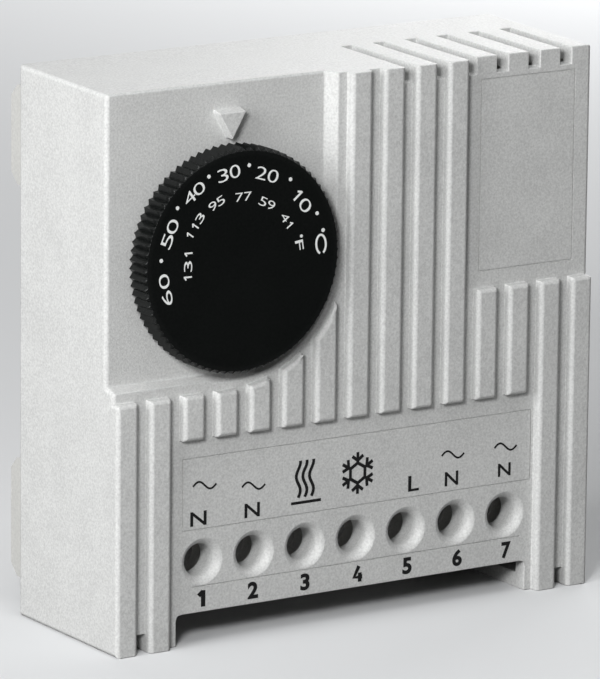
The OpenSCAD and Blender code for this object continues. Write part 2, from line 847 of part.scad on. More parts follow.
module rail_clip() color("dimgray") {
    half = clip_w / 2;
    window_half = spring_r + window_gap;
    difference() {
        beam(-half, half, [[hook_front_d, clip_low_z], [hook_front_d, clip_top_z - hook_nose],
            [hook_front_d - hook_nose, clip_top_z], [hook_front_d - clip_t / 2, clip_top_z],
            [clip_back_d, clip_top_z - hook_reach], [clip_back_d, clip_low_z]]);
        bar(-window_half, window_half, clip_back_d - over, hook_front_d + over,
            peg_z - clip_gap, spring_top_z);
        // Pocket for the screwdriver that pulls the clip down
        bar(-driver_half, driver_half, clip_back_d + driver_wall, hook_front_d - driver_wall,
            clip_low_z - over, clip_low_z + driver_h);
    }
    pillar(0, spring_mid_d, spring_top_z - spring_pin_h, spring_top_z + sink, spring_pin_r);
}

// The clip's spring: one tube along a helix, with its rings and sides counted here
spring_ring = 8;
spring_sides = 6;
spring_rise = spring_top_z - spring_low_z - spring_wire - 2 * closed_gap;
spring_turns = floor(spring_rise / spring_pitch);
spring_rings = spring_turns * spring_ring;
coil_r = (spring_dia - spring_wire) / 2;
function coil_point(i) = let (a = i / spring_ring * 360)
    [coil_r * cos(a), coil_r * sin(a), spring_rise * i / spring_rings];
function tube_point(i, k) = let (a = i / spring_ring * 360, b = k / spring_sides * 360)
    coil_point(i) + spring_wire / 2 * [cos(b) * cos(a), cos(b) * sin(a), sin(b)];
echo("least gap between the turns of the clip's spring", min([for (i = [0:spring_rings - spring_ring],
    j = [i + spring_ring - 2:min(i + spring_ring + 2, spring_rings)], k = [0:spring_sides - 1],
    m = [0:spring_sides - 1]) norm(tube_point(i, k) - tube_point(j, m))]));

module rail_clip_spring() color("silver") {
    n = spring_sides;
    end = spring_rings * n;
    points = [for (i = [0:spring_rings], k = [0:n - 1]) tube_point(i, k)];
    walls = [for (i = [0:spring_rings - 1], k = [0:n - 1])
        let (a = i * n + k, b = i * n + (k + 1) % n)
            each [[a, a + n, b], [b, a + n, b + n]]];
    first_cap = [for (k = [1:n - 2]) [0, k, k + 1]];
    last_cap = [for (k = [1:n - 2]) [end, end + k + 1, end + k]];
    translate([0, y_at(spring_mid_d), spring_low_z + spring_wire / 2 + closed_gap])
        polyhedron(points, concat(walls, first_cap, last_cap), convexity = 8);
}

// The dial's outline: each grip tooth is a low rounded hump
function tooth_r(a) = dial_r - tooth_deep * (1 - cos(a * dial_teeth)) / 2;
module dial_outline() {
    steps = dial_teeth * 4;
    translate([dial_x, dial_z])
        polygon([for (i = [0:steps - 1]) let (a = 360 * i / steps) tooth_r(a) * [cos(a), sin(a)]]);
}

module dial() color("black") {
    edge_d = dial_front_d - tooth_deep;
    difference() {
        union() {
            slab(dial_back_d, edge_d) dial_outline();
            intersection() {
                slab(edge_d - sink, dial_front_d) dial_outline();
                rod(dial_x, dial_z, edge_d - sink, dial_front_d, dial_r + sink, dial_r - tooth_deep);
            }
        }
        rod(dial_x, dial_z, dial_back_d - over, dial_inner_d, dial_r - dial_rim);
    }
    difference() {
        rod(dial_x, dial_z, hub_back_d, dial_inner_d + sink, hub_r);
        rod(dial_x, dial_z, hub_back_d - over, bore_front_d, spindle_neck_r);
    }
    slab(dial_back_d + stop_clear_d, dial_inner_d + sink)
        translate([dial_x, dial_z]) rotate(stop_mid)
            ring_sector(stop_inner_r, stop_outer_r, -stop_arc / 2, stop_arc / 2, 24);
}

module spindle() color("goldenrod") {
    rod(dial_x, dial_z, board_front_d + end_play, foot_front_d + end_play + sink, spindle_pivot_r);
    rod(dial_x, dial_z, foot_front_d + end_play, groove_d, spindle_r);
    rod(dial_x, dial_z, groove_d - sink, groove_front_d + sink, spindle_neck_r);
    rod(dial_x, dial_z, groove_front_d, hub_back_d - hub_seat, spindle_r);
    rod(dial_x, dial_z, hub_back_d - hub_seat - sink, bore_front_d - hub_seat,
        spindle_neck_r - closed_gap);
}

module spindle_ring() color("silver")
    slab(groove_d + closed_gap, groove_d + closed_gap + ring_t)
        translate([dial_x, dial_z])
            ring_sector(spindle_neck_r + closed_gap, spindle_r + ring_rim, ring_from, ring_to, 30);

module spindle_bush() color("goldenrod")
    difference() {
        union() {
            rod(dial_x, dial_z, bridge_d - bush_back, bridge_front_d + sink, bush_r);
            rod(dial_x, dial_z, bridge_front_d, bush_front_d, bush_flange_r);
        }
        rod(dial_x, dial_z, bridge_d - bush_back - over, bush_front_d + over,
            spindle_r + running_gap);
    }

// The cam's radius falls evenly with its angle
module setting_cam() color("white")
    slab(lever_d - cam_side, lever_front_d + cam_side)
        translate([dial_x, dial_z])
            difference() {
                polygon([for (i = [0:cam_steps]) let (a = cam_from + (cam_to - cam_from) * i / cam_steps)
                    (cam_r + cam_rate * (upright - a)) * [cos(a), sin(a)]]);
                circle(spindle_r + closed_gap);
            }

// Outline of the switch frame's foot and bridge, with the ear for the lever's pivot
module frame_outline() {
    translate([frame_left, frame_low_z]) square([frame_right - frame_left, frame_top_z - frame_low_z]);
    translate([pivot_x, lever_z - ear_r]) square([frame_left - pivot_x + sink, 2 * ear_r]);
    translate([pivot_x, lever_z]) circle(ear_r);
}

module switch_frame() color("lightsteelblue") {
    difference() {
        slab(board_front_d, foot_front_d) frame_outline();
        rod(dial_x, dial_z, board_front_d - over, foot_front_d + over, spindle_pivot_r + running_gap);
        rod(pivot_x, lever_z, board_front_d - over, foot_front_d + over, pivot_r);
    }
    difference() {
        slab(bridge_d, bridge_front_d) frame_outline();
        rod(dial_x, dial_z, bridge_d - over, bridge_front_d + over, bush_r);
        rod(pivot_x, lever_z, bridge_d - over, bridge_front_d + over, pivot_r);
    }
    for (z = [frame_low_z, frame_top_z - frame_sheet])
        bar(frame_left + leg_inset, frame_right - leg_inset, foot_front_d - sink, bridge_d + sink,
            z, z + frame_sheet);
}

module pivot_pin() color("silver")
    rod(pivot_x, lever_z, board_front_d + end_play, bridge_front_d + pin_end, pivot_r - closed_gap / 3);

// Holes for the two rivets through the lever's flange and the strip
function rivet_x(i) = flange_from_x + rivet_inset + i * rivet_pitch;
module rivet_holes()
    for (i = [0, 1])
        pillar(rivet_x(i), strip_mid_d + rivet_forward, strip_z - flange_t - over,
            strip_top_z + over, rivet_r + closed_gap);

module setting_lever() color("lightgray") {
    strip_half = bimetal_w / 2;
    difference() {
        slab(lever_d, lever_front_d) {
            translate([pivot_x, lever_low_z]) square([lever_end_x - pivot_x, lever_bar]);
            translate([pivot_x, lever_z]) circle(eye_r);
            translate([dial_x, follower_z]) circle(follower_r);
        }
        rod(pivot_x, lever_z, lever_d - over, lever_front_d + over, pivot_r + running_gap);
        rivet_holes();
    }
    // Flange, bent forward, that carries the bimetal strip
    difference() {
        bar(flange_from_x, lever_end_x, strip_mid_d - strip_half, strip_mid_d + strip_half,
            lever_top_z - closed_gap, strip_z);
        rivet_holes();
    }
}

// A leaf fixed under the frame's upper leg; its tip lies over the lever near the pivot
module lever_spring() color("silver") {
    root_x = frame_right - leg_inset;
    bend_x = root_x - leaf_foot;
    tip_x = pivot_x + leaf_reach;
    end_x = tip_x - leaf_curl;
    top_z = frame_top_z - frame_sheet;
    tip_z = lever_top_z + leaf_gap;
    end_z = tip_z + leaf_curl / 2;
    slab(lever_d, lever_front_d)
        polygon([[root_x, top_z], [bend_x, top_z], [tip_x, tip_z + leaf_t], [end_x, end_z + leaf_t],
            [end_x, end_z], [tip_x, tip_z], [bend_x, top_z - leaf_t], [root_x, top_z - leaf_t]]);
}

module bimetal_strip() color("darkkhaki")
    difference() {
        bar(flange_from_x, strip_to_x, strip_mid_d - bimetal_w / 2, strip_mid_d + bimetal_w / 2,
            strip_z, strip_top_z);
        rivet_holes();
        pillar(calibration_x, arm_mid_d, strip_z - over, strip_top_z + over,
            calibration_r + closed_gap);
    }

module strip_rivets() color("silver")
    for (i = [0, 1]) {
        d = strip_mid_d + rivet_forward;
        head_r = rivet_r + rivet_head;
        pillar(rivet_x(i), d, strip_z - flange_t - sink, strip_top_z + sink, rivet_r);
        pillar(rivet_x(i), d, strip_z - flange_t - closed_gap - rivet_head_t,
            strip_z - flange_t - closed_gap, head_r);
        pillar(rivet_x(i), d, strip_top_z, strip_top_z + rivet_head_t, head_r);
    }

module calibration_screw() color("goldenrod") {
    x = calibration_x;
    cap_r = calibration_r + cap_rim;
    pillar(x, arm_mid_d, strip_z - tip_drop, strip_top_z + sink, calibration_r);
    difference() {
        pillar(x, arm_mid_d, strip_top_z, strip_top_z + cap_t, cap_r);
        bar(x - cap_r - over, x + cap_r + over, arm_mid_d - cap_slot_w / 2, arm_mid_d + cap_slot_w / 2,
            strip_top_z + cap_t - cap_slot_deep, strip_top_z + cap_t + over);
    }
}

module contact_arm() color("peru") {
    window_half = arm_w / 5;
    difference() {
        bar(arm_root_x, contact_x + contact_r + arm_end, arm_back_d, arm_front_d, arm_z, arm_top_z);
        pillar(contact_x, arm_mid_d, arm_z - over, arm_top_z + over, contact_stem_r + closed_gap);
        bar(arm_root_x + window_from, arm_root_x + window_from + window_len,
            arm_mid_d - window_half, arm_mid_d + window_half, arm_z - over, arm_top_z + over);
    }
}

module moving_contact() color("whitesmoke") {
    pillar(contact_x, arm_mid_d, arm_z - contact_h, arm_z, contact_r);
    pillar(contact_x, arm_mid_d, arm_top_z, arm_top_z + contact_h, contact_r);
    pillar(contact_x, arm_mid_d, arm_z - sink, arm_top_z + sink, contact_stem_r);
}

module armature() color("slategray")
    bar(magnet_x - magnet_half, magnet_x + magnet_half, arm_mid_d - magnet_half,
        arm_mid_d + magnet_half, arm_z - armature_t, arm_z);

module snap_magnet() color("dimgray")
    bar(magnet_x - magnet_half, magnet_x + magnet_half, arm_mid_d - magnet_half,
        arm_mid_d + magnet_half, shelf_z + contact_sheet, arm_z - armature_t - magnet_gap);

// The post holds the arm's root in a notch; the shelf carries the magnet
module common_contact() color("goldenrod") {
    difference() {
        bar(post_x, post_x + post_w, board_front_d, post_front_d, shelf_z, arm_top_z + post_cap);
        bar(arm_root_x - notch_gap, post_x + post_w + over, arm_back_d - notch_gap,
            arm_front_d + notch_gap, arm_z - notch_gap, arm_top_z + notch_gap);
    }
    bar(post_x, magnet_x + magnet_half + shelf_end, board_front_d + shelf_lift, post_front_d,
        shelf_z, shelf_z + contact_sheet);
}

module contact_block() color("wheat")
    difference() {
        bar(block_x, block_end_x, board_front_d, arm_front_d + block_cap,
            low_strip_z - block_below, high_strip_z + contact_sheet + block_above);
        for (z = [low_strip_z, high_strip_z])
            bar(block_x - over, block_end_x - strip_tail + closed_gap, arm_back_d - closed_gap,
                arm_front_d + closed_gap, z - closed_gap, z + contact_sheet + closed_gap);
    }

// A fixed contact strip with the hole for its rivet
module contact_strip(z)
    difference() {
        bar(contact_x - contact_r - strip_nose, block_end_x - strip_tail, arm_back_d, arm_front_d,
            z, z + contact_sheet);
        pillar(contact_x, arm_mid_d, z - over, z + contact_sheet + over, contact_stem_r + closed_gap);
    }

module heating_contact() color("goldenrod") contact_strip(low_strip_z);

module cooling_contact() color("goldenrod") contact_strip(high_strip_z);

module fixed_contacts() color("whitesmoke") {
    pillar(contact_x, arm_mid_d, low_contact_z - contact_h, low_contact_z, contact_r);
    pillar(contact_x, arm_mid_d, low_strip_z, low_contact_z - contact_h + sink, contact_stem_r);
    pillar(contact_x, arm_mid_d, high_contact_z, high_strip_z, contact_r);
    pillar(contact_x, arm_mid_d, high_strip_z - sink, high_strip_z + contact_sheet, contact_stem_r);
}

module circuit_board() color("darkgreen") {
    wide_half = base_half_w - board_side;
    difference() {
        slab(board_d, board_front_d) {
            translate([-wide_half, board_z]) square([2 * wide_half, board_wide_h]);
            translate([-board_w / 2, board_z]) square([board_w, board_h]);
        }
        at_standoffs() rod(0, 0, board_d - over, board_front_d + over, board_peg_r + running_gap);
        rod(dial_x, dial_z, board_d - over, board_front_d + over, spindle_pivot_r + board_hole_gap);
        rod(pivot_x, lever_z, board_d - over, board_front_d + over, pivot_r + board_hole_gap);
    }
}

module feedback_resistors() color("olivedrab")
    for (i = [0:resistor_count - 1]) {
        x = frame_right + resistor_side + resistor_r + i * resistor_pitch;
        mid_d = board_front_d + resistor_lift + resistor_r;
        low_z = board_z + resistor_rise - resistor_len / 2;
        top_z = low_z + resistor_len;
        pillar(x, mid_d, low_z, top_z, resistor_r);
        pillar(x, mid_d, low_z - lead_len, top_z + lead_len, lead_r);
        for (z = [low_z - lead_len + lead_r, top_z + lead_len - lead_r])
            rod(x, z, board_front_d + closed_gap, mid_d, lead_foot_r);
    }

module terminal_block() color("gray")
    difference() {
        half = cage_w / 2 + cell_gap;
        slot_half = bar_w / 2 + cell_gap;
        cell_top = cage_len / 2 + cell_gap;
        bar(terminal_x(0) - block_side, terminal_x(terminal_count - 1) + block_side, block_back_d,
            block_front_d, block_low_z, block_top_z);
        at_terminals() {
            // Cell of the clamp cage, open at the foot for the wire
            bar(-half, half, cage_back_d - cell_gap, cage_end_d + clamp_lift + cell_gap,
                block_low_z - terminal_z - over, cell_top);
            // Slot of the contact bar
            bar(-slot_half, slot_half, bar_d - closed_gap, bar_front_d + cell_gap,
                0, block_rise + over);
            rod(0, 0, bar_d, block_front_d + over, clamp_screw_r + shank_gap);
            rod(0, 0, head_seat_d, block_front_d + over, clamp_head_r + head_clear);
        }
    }

module contact_bars() color("goldenrod")
    at_terminals()
        bar(-bar_w / 2, bar_w / 2, bar_d, bar_front_d, -cage_len / 2 - bar_over,
            board_z + bar_foot - terminal_z);

module terminal_screw(i) color("silver")
    translate([terminal_x(i), 0, terminal_z]) {
        difference() {
            rod(0, 0, head_d, head_front_d, clamp_head_r);
            bar(-clamp_head_r - over, clamp_head_r + over, head_d + clamp_head_h / 2,
                head_front_d + over, -screw_slot_w / 2, screw_slot_w / 2);
        }
        rod(0, 0, bar_front_d + tip_clear, head_d + sink, clamp_screw_r);
    }

module clamp_cage(i) color("lightsteelblue")
    translate([terminal_x(i), 0, terminal_z]) {
        half = cage_w / 2;
        inner = half - cage_wall;
        long = cage_len / 2;
        difference() {
            bar(-half, half, cage_back_d, cage_end_d, -long, long);
            bar(-inner, inner, cage_back_d + cage_wall, cage_front_d, -long - over, long + over);
            rod(0, 0, cage_front_d - over, cage_end_d + over, clamp_screw_r + running_gap);
        }
    }

cover();
base_plate();
housing_screws();
rail_clip();
rail_clip_spring();
dial();
spindle();
spindle_ring();
spindle_bush();
setting_cam();
switch_frame();
pivot_pin();
setting_lever();
lever_spring();
bimetal_strip();
strip_rivets();
calibration_screw();
contact_arm();
moving_contact();
armature();
snap_magnet();
common_contact();
contact_block();
heating_contact();
cooling_contact();
fixed_contacts();
circuit_board();
feedback_resistors();
terminal_block();
contact_bars();
terminal_screw(0);  // terminal_screw_1
terminal_screw(1);  // terminal_screw_2
terminal_screw(2);  // terminal_screw_3
terminal_screw(3);  // terminal_screw_4
terminal_screw(4);  // terminal_screw_5
terminal_screw(5);  // terminal_screw_6
terminal_screw(6);  // terminal_screw_7
clamp_cage(0);  // clamp_cage_1
clamp_cage(1);  // clamp_cage_2
clamp_cage(2);  // clamp_cage_3
clamp_cage(3);  // clamp_cage_4
clamp_cage(4);  // clamp_cage_5
clamp_cage(5);  // clamp_cage_6
clamp_cage(6);  // clamp_cage_7
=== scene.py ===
# A cabinet thermostat for a 35 mm rail, put together here in the order in which the real one is made.
# Sizes are given in millimetres and turned into metres by mm; a depth is counted forward from the
# cover's back edge, as in the part's own source.
import math

import bmesh
import bpy
from mathutils import Matrix, Vector


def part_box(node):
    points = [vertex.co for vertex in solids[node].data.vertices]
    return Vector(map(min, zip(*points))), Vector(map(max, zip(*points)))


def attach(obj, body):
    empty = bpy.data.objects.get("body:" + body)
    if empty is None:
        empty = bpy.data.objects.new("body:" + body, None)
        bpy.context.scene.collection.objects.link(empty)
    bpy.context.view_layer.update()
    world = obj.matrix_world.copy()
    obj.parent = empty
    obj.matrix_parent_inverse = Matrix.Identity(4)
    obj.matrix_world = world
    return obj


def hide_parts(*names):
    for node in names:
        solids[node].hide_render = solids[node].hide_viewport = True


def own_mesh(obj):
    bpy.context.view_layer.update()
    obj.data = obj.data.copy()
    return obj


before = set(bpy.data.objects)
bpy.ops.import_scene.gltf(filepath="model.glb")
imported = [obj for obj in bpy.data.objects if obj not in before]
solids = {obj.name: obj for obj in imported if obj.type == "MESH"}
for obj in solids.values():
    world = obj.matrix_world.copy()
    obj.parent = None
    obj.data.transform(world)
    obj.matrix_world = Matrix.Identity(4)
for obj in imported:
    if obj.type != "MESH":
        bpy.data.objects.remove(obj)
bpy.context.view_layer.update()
scene = bpy.context.scene
scene.view_settings.view_transform = "Standard"

# The camera.
# It stands at arm's length, to the left of the thermostat and a little above it, with a long lens.
def placed_object(name, data):
    """A new object, linked into the scene."""
    thing = bpy.data.objects.new(name, data)
    scene.collection.objects.link(thing)
    return thing


mm = 0.001
looked_at = Vector((0, -6.15, 35.5))
left_of_it, below_it, away_from_it = 2.682, 0.772, 856.2
azimuth, elevation, roll = (math.radians(a) for a in (-32.833, 13.137, 0.589))
back = Vector((math.sin(azimuth) * math.cos(elevation), -math.cos(azimuth) * math.cos(elevation),
               math.sin(elevation)))
level = Vector((math.cos(azimuth), math.sin(azimuth), 0))
across = level * math.cos(roll) + back.cross(level) * math.sin(roll)
upward = back.cross(across)
view_from = (looked_at - across * left_of_it - upward * below_it + back * away_from_it) * mm
camera = placed_object("camera", bpy.data.cameras.new("camera"))
camera.data.lens = 359.05
camera.data.sensor_width = 36
camera.data.clip_start = 0.01
camera.matrix_world = Matrix.Translation(view_from) @ Matrix((across, upward, back)).transposed().to_4x4()
scene.camera = camera

# Studio light, floor and background.
# A small softbox at the front left draws the shadows, larger ones stand at the left side, hang over
# the front and light the back from the right; the world and the floor fill the shadows.
def put(tree, kind, sockets=None, **settings):
    """A new node in a tree. A socket gets a value, or a link where an output is given for it."""
    node = tree.nodes.new(kind)
    for name, value in settings.items():
        setattr(node, name, value)
    for name, value in (sockets or {}).items():
        if isinstance(value, bpy.types.NodeSocket):
            tree.links.new(value, node.inputs[name])
        else:
            node.inputs[name].default_value = value
    return node


lamp_aim = Vector((0, 0, 0.035))


def soft_lamp(name, place, side, radiance):
    """A square lamp with a side in metres, turned to the thermostat."""
    lamp = bpy.data.lights.new(name, "AREA")
    lamp.size = side
    lamp.energy = math.pi * side ** 2 * radiance
    holder = placed_object(name, lamp)
    holder.location = place
    holder.rotation_euler = (lamp_aim - Vector(place)).to_track_quat("-Z", "Y").to_euler()


soft_lamp("front_softbox", (-0.32, -0.32, 0.25), 0.1, 48)
soft_lamp("side_softbox", (-0.55, -0.117, 0.24), 0.3, 8.9)
soft_lamp("top_softbox", (-0.03, -0.12, 0.62), 0.3, 2.5)
soft_lamp("back_softbox", (0.5, 0.42, 0.13), 0.4, 7.0)

world = bpy.data.worlds.new("studio")
scene.world = world
world.use_nodes = True
sky = world.node_tree
sky.nodes.clear()
seen = put(sky, "ShaderNodeLightPath")
shown = put(sky, "ShaderNodeMath", {0: seen.outputs["Is Camera Ray"], 1: seen.outputs["Is Glossy Ray"]},
            operation="MAXIMUM")
shown = put(sky, "ShaderNodeMath", {0: shown.outputs[0], 1: seen.outputs["Is Transmission Ray"]},
            operation="MAXIMUM")
fill = put(sky, "ShaderNodeBackground", {"Color": (1, 1, 1, 1), "Strength": 0.1})
pale = put(sky, "ShaderNodeBackground", {"Color": (0.86, 0.87, 0.88, 1), "Strength": 0.9})
both = put(sky, "ShaderNodeMixShader", {0: shown.outputs[0], 1: fill.outputs[0], 2: pale.outputs[0]})
put(sky, "ShaderNodeOutputWorld", {"Surface": both.outputs[0]})

floor_mesh = bpy.data.meshes.new("floor")
far = 2
floor_mesh.from_pydata([(-far, -far, 0), (far, -far, 0), (far, far, 0), (-far, far, 0)], [], [(0, 1, 2, 3)])
floor = placed_object("floor", floor_mesh)
floor_paper = bpy.data.materials.new("floor_paper")
floor_paper.use_nodes = True
paper = floor_paper.node_tree
paper.nodes.clear()
path = put(paper, "ShaderNodeLightPath")
side_seen = put(paper, "ShaderNodeNewGeometry")
pale_face = put(paper, "ShaderNodeBsdfDiffuse", {"Color": (0.74, 0.75, 0.76, 1)})
quiet_face = put(paper, "ShaderNodeBsdfDiffuse", {"Color": (0.22, 0.22, 0.22, 1)})
paper_face = put(paper, "ShaderNodeMixShader", {0: path.outputs["Is Camera Ray"],
                                                1: quiet_face.outputs[0], 2: pale_face.outputs[0]})
clear = put(paper, "ShaderNodeBsdfTransparent")
either = put(paper, "ShaderNodeMixShader", {0: side_seen.outputs["Backfacing"],
                                            1: paper_face.outputs[0], 2: clear.outputs[0]})
put(paper, "ShaderNodeOutputMaterial", {"Surface": either.outputs[0]})
floor_mesh.materials.append(floor_paper)

# Cover.
# The moulded housing of light grey plastic, with ribs, a pointer and seven screwdriver holes on its
# front. The mould was spark-eroded, which leaves a fine grain on every outer face and soft edges.
back_edge_y = 8.85


def front(depth):
    """Y of a depth in millimetres."""
    return (back_edge_y - depth) * mm


def as_mesh(work, name):
    """The finished mesh of some work, which ends there."""
    mesh = bpy.data.meshes.new(name)
    work.to_mesh(mesh)
    work.free()
    return mesh


def settled(holder):
    """The mesh that an object comes to with its modifiers; the object goes."""
    mesh = bpy.data.meshes.new_from_object(holder.evaluated_get(bpy.context.evaluated_depsgraph_get()))
    bpy.data.objects.remove(holder)
    return mesh


def new_object(name, mesh, material, body):
    """A finished mesh as an object that rides on a body."""
    mesh.materials.clear()
    mesh.materials.append(material)
    piece = placed_object(name, mesh)
    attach(piece, body)
    return piece


def grain_group():
    """Spark-eroded grain: a height for the bump, fine specks and a broad, weak mottle."""
    group = bpy.data.node_groups.new("spark_grain", "ShaderNodeTree")
    for name, value in (("Grain Size", 0.0003), ("Mottle Size", 0.006)):
        group.interface.new_socket(name, in_out="INPUT", socket_type="NodeSocketFloat").default_value = value
    for name in ("Height", "Specks", "Mottle"):
        group.interface.new_socket(name, in_out="OUTPUT", socket_type="NodeSocketFloat")
    given = put(group, "NodeGroupInput")
    place = put(group, "ShaderNodeTexCoord")
    made = []
    for name in ("Grain Size", "Mottle Size"):
        finer = put(group, "ShaderNodeMath", {0: 1, 1: given.outputs[name]}, operation="DIVIDE")
        made.append(put(group, "ShaderNodeVectorMath",
                        {0: place.outputs["Object"], "Scale": finer.outputs[0]}, operation="SCALE"))
    fine, broad = made
    pits = put(group, "ShaderNodeTexVoronoi", {"Vector": fine.outputs[0], "Scale": 1.0})
    cloud = put(group, "ShaderNodeTexNoise", {"Vector": fine.outputs[0], "Scale": 0.6, "Detail": 3})
    height = put(group, "ShaderNodeMix", {0: 0.5, 2: pits.outputs["Distance"], 3: cloud.outputs[0]})
    mottle = put(group, "ShaderNodeTexNoise", {"Vector": broad.outputs[0], "Scale": 1.0, "Detail": 4})
    put(group, "NodeGroupOutput", {"Height": height.outputs[0], "Specks": cloud.outputs[0],
                                   "Mottle": mottle.outputs[0]})
    return group


spark_grain = grain_group()


def blank_material(name, roughness, **even):
    """A material with one shader whose even values are set, and its output."""
    material = bpy.data.materials.new(name)
    material.use_nodes = True
    tree = material.node_tree
    tree.nodes.clear()
    values = {"Roughness": roughness}
    values.update({key.replace("_", " "): value for key, value in even.items()})
    shader = put(tree, "ShaderNodeBsdfPrincipled", values)
    put(tree, "ShaderNodeOutputMaterial", {"Surface": shader.outputs[0]})
    return material, tree, shader


def two_colours(tree, share, one, other):
    """The colour between two colours, by the share that an output gives."""
    return put(tree, "ShaderNodeMix", {0: share, 6: (*one, 1), 7: (*other, 1)}, data_type="RGBA").outputs[2]


def moulded(name, deep, high, roughness, grain, relief, mottle=6 * mm, gloss=0.5):
    """Moulded plastic: two near colours mixed by specks and mottle, with the grain in its bump."""
    material, tree, shader = blank_material(name, roughness, Specular_IOR_Level=gloss)
    texture = put(tree, "ShaderNodeGroup", node_tree=spark_grain)
    texture.inputs["Grain Size"].default_value = grain
    texture.inputs["Mottle Size"].default_value = mottle
    amount = put(tree, "ShaderNodeMix", {0: 0.2, 2: texture.outputs["Specks"], 3: texture.outputs["Mottle"]})
    spread = put(tree, "ShaderNodeMapRange", {"Value": amount.outputs[0], "From Min": 0.34, "From Max": 0.66})
    colour = two_colours(tree, spread.outputs[0], deep, high)
    rough = put(tree, "ShaderNodeMapRange", {"Value": texture.outputs["Mottle"], "To Min": roughness - 0.05,
                                             "To Max": roughness + 0.05})
    bump = put(tree, "ShaderNodeBump", {"Strength": 1, "Distance": relief,
                                        "Height": texture.outputs["Height"]})
    tree.links.new(colour, shader.inputs["Base Color"])
    tree.links.new(rough.outputs[0], shader.inputs["Roughness"])
    tree.links.new(bump.outputs[0], shader.inputs["Normal"])
    return material


def flat_patches(work):
    """Joined faces of one plane: gives each face its patch's number, and each patch its area and rim."""
    number, area, rim = {}, [], []
    one_plane = 0.99985
    for first in work.faces:
        if first in number:
            continue
        patch, waiting = [], [first]
        number[first] = len(area)
        while waiting:
            face = waiting.pop()
            patch.append(face)
            for edge in face.edges:
                for other in edge.link_faces:
                    if other not in number and other.normal.dot(first.normal) > one_plane:
                        number[other] = number[first]
                        waiting.append(other)
        area.append(sum(face.calc_area() for face in patch))
        rim.append(sum(edge.calc_length() for face in patch for edge in face.edges
                       if sum(number.get(f) == number[first] for f in edge.link_faces) == 1))
    return number, area, rim


def shade_by_patch(mesh, turned=()):
    """Custom normals for a rounded solid: at each corner the largest flat patch decides, so planes
    shade flat up to their edges and only the rounding between them turns. Round an axis that is
    given with two radii, the facets of a turned face don't show."""
    work = bmesh.new()
    work.from_mesh(mesh)
    work.faces.ensure_lookup_table()
    number, area, _ = flat_patches(work)
    area_power, slight_turn = 1.5, 0.15
    normals = [None] * len(mesh.loops)
    for vertex in work.verts:
        left = set(vertex.link_faces)
        while left:
            fan, waiting = set(), [left.pop()]
            while waiting:
                face = waiting.pop()
                fan.add(face)
                for edge in face.edges:
                    if vertex in edge.verts and edge.smooth:
                        for other in edge.link_faces:
                            if other in left:
                                left.discard(other)
                                waiting.append(other)
            one_each = {number[face]: face for face in fan}
            normal = sum((face.normal * area[k] ** area_power for k, face in one_each.items()), Vector())
            normal = normal.normalized()
            for x, z, low, high in turned:
                arm = Vector((vertex.co.x - x * mm, 0, vertex.co.z - z * mm))
                aside = arm.normalized().cross(Vector((0, 1, 0)))
                if low * mm < arm.length < high * mm and abs(normal.dot(aside)) < slight_turn:
                    normal -= aside * normal.dot(aside)
            for face in fan:
                for loop in face.loops:
                    if loop.vert == vertex:
                        normals[loop.index] = normal.normalized() if normal.length > 0 else face.normal.copy()
    work.free()
    mesh.normals_split_custom_set(normals)


def evaluated(mesh, kind, **settings):
    """The mesh as one modifier leaves it."""
    holder = placed_object(mesh.name, mesh)
    step = holder.modifiers.new(kind.lower(), kind)
    for name, value in settings.items():
        setattr(step, name, value)
    return settled(holder)


def softened(node, name, widest, width_of, segments=3, cutter=None, turned=()):
    """A merged copy of a solid with its sharp edges rounded. width_of gives the width for an edge's
    middle and its two face normals, or 0 for one that stays sharp; so do the edges beside a sliver,
    such as an engraved line's. A cutter is taken away from the solid first."""
    sharp, sliver = math.radians(28), 0.12 * mm
    work = bmesh.new()
    work.from_mesh(solids[node].data)
    bmesh.ops.remove_doubles(work, verts=work.verts, dist=1e-6)
    bmesh.ops.dissolve_limit(work, angle_limit=math.radians(1), verts=work.verts, edges=work.edges)
    if cutter:
        whole = bpy.data.meshes.new(name)
        work.to_mesh(whole)
        work.clear()
        work.from_mesh(evaluated(whole, "BOOLEAN", operation="DIFFERENCE", solver="EXACT", object=cutter))
        bpy.data.objects.remove(cutter)
    bmesh.ops.triangulate(work, faces=work.faces, quad_method="BEAUTY", ngon_method="BEAUTY")
    weight = work.edges.layers.float.new("bevel_weight_edge")
    number, area, rim = flat_patches(work)
    for face in work.faces:
        face.smooth = True
    for edge in work.edges:
        if len(edge.link_faces) != 2 or edge.calc_face_angle(0) < sharp:
            continue
        if any(area[number[f]] / rim[number[f]] < sliver for f in edge.link_faces):
            edge.smooth = False
            continue
        middle = (edge.verts[0].co + edge.verts[1].co) / 2 / mm
        edge[weight] = width_of(middle, *(f.normal for f in edge.link_faces)) / widest
        edge.smooth = edge[weight] > 0
    mesh = evaluated(as_mesh(work, name), "BEVEL", limit_method="WEIGHT", width=widest * mm,
                     segments=segments, use_clamp_overlap=False, loop_slide=False)
    mesh.name = name
    shade_by_patch(mesh, turned)
    return mesh


def lathed(work, x, z, section, around):
    """Turns a closed section of radii and depths round an axis that points forward."""
    rings = []
    for radius, depth in section:
        turns = 1 if radius == 0 else around
        rings.append([work.verts.new(((x + radius * math.cos(2 * math.pi * i / around)) * mm, front(depth),
                                      (z + radius * math.sin(2 * math.pi * i / around)) * mm))
                      for i in range(turns)])
    for one, other in zip(rings, rings[1:]):
        for i in range(around):
            j = (i + 1) % around
            corners = [one[i % len(one)], other[i % len(other)], other[j % len(other)], one[j % len(one)]]
            work.faces.new(list(dict.fromkeys(corners)))


corner_round, half_wide = 0.6, 35.5


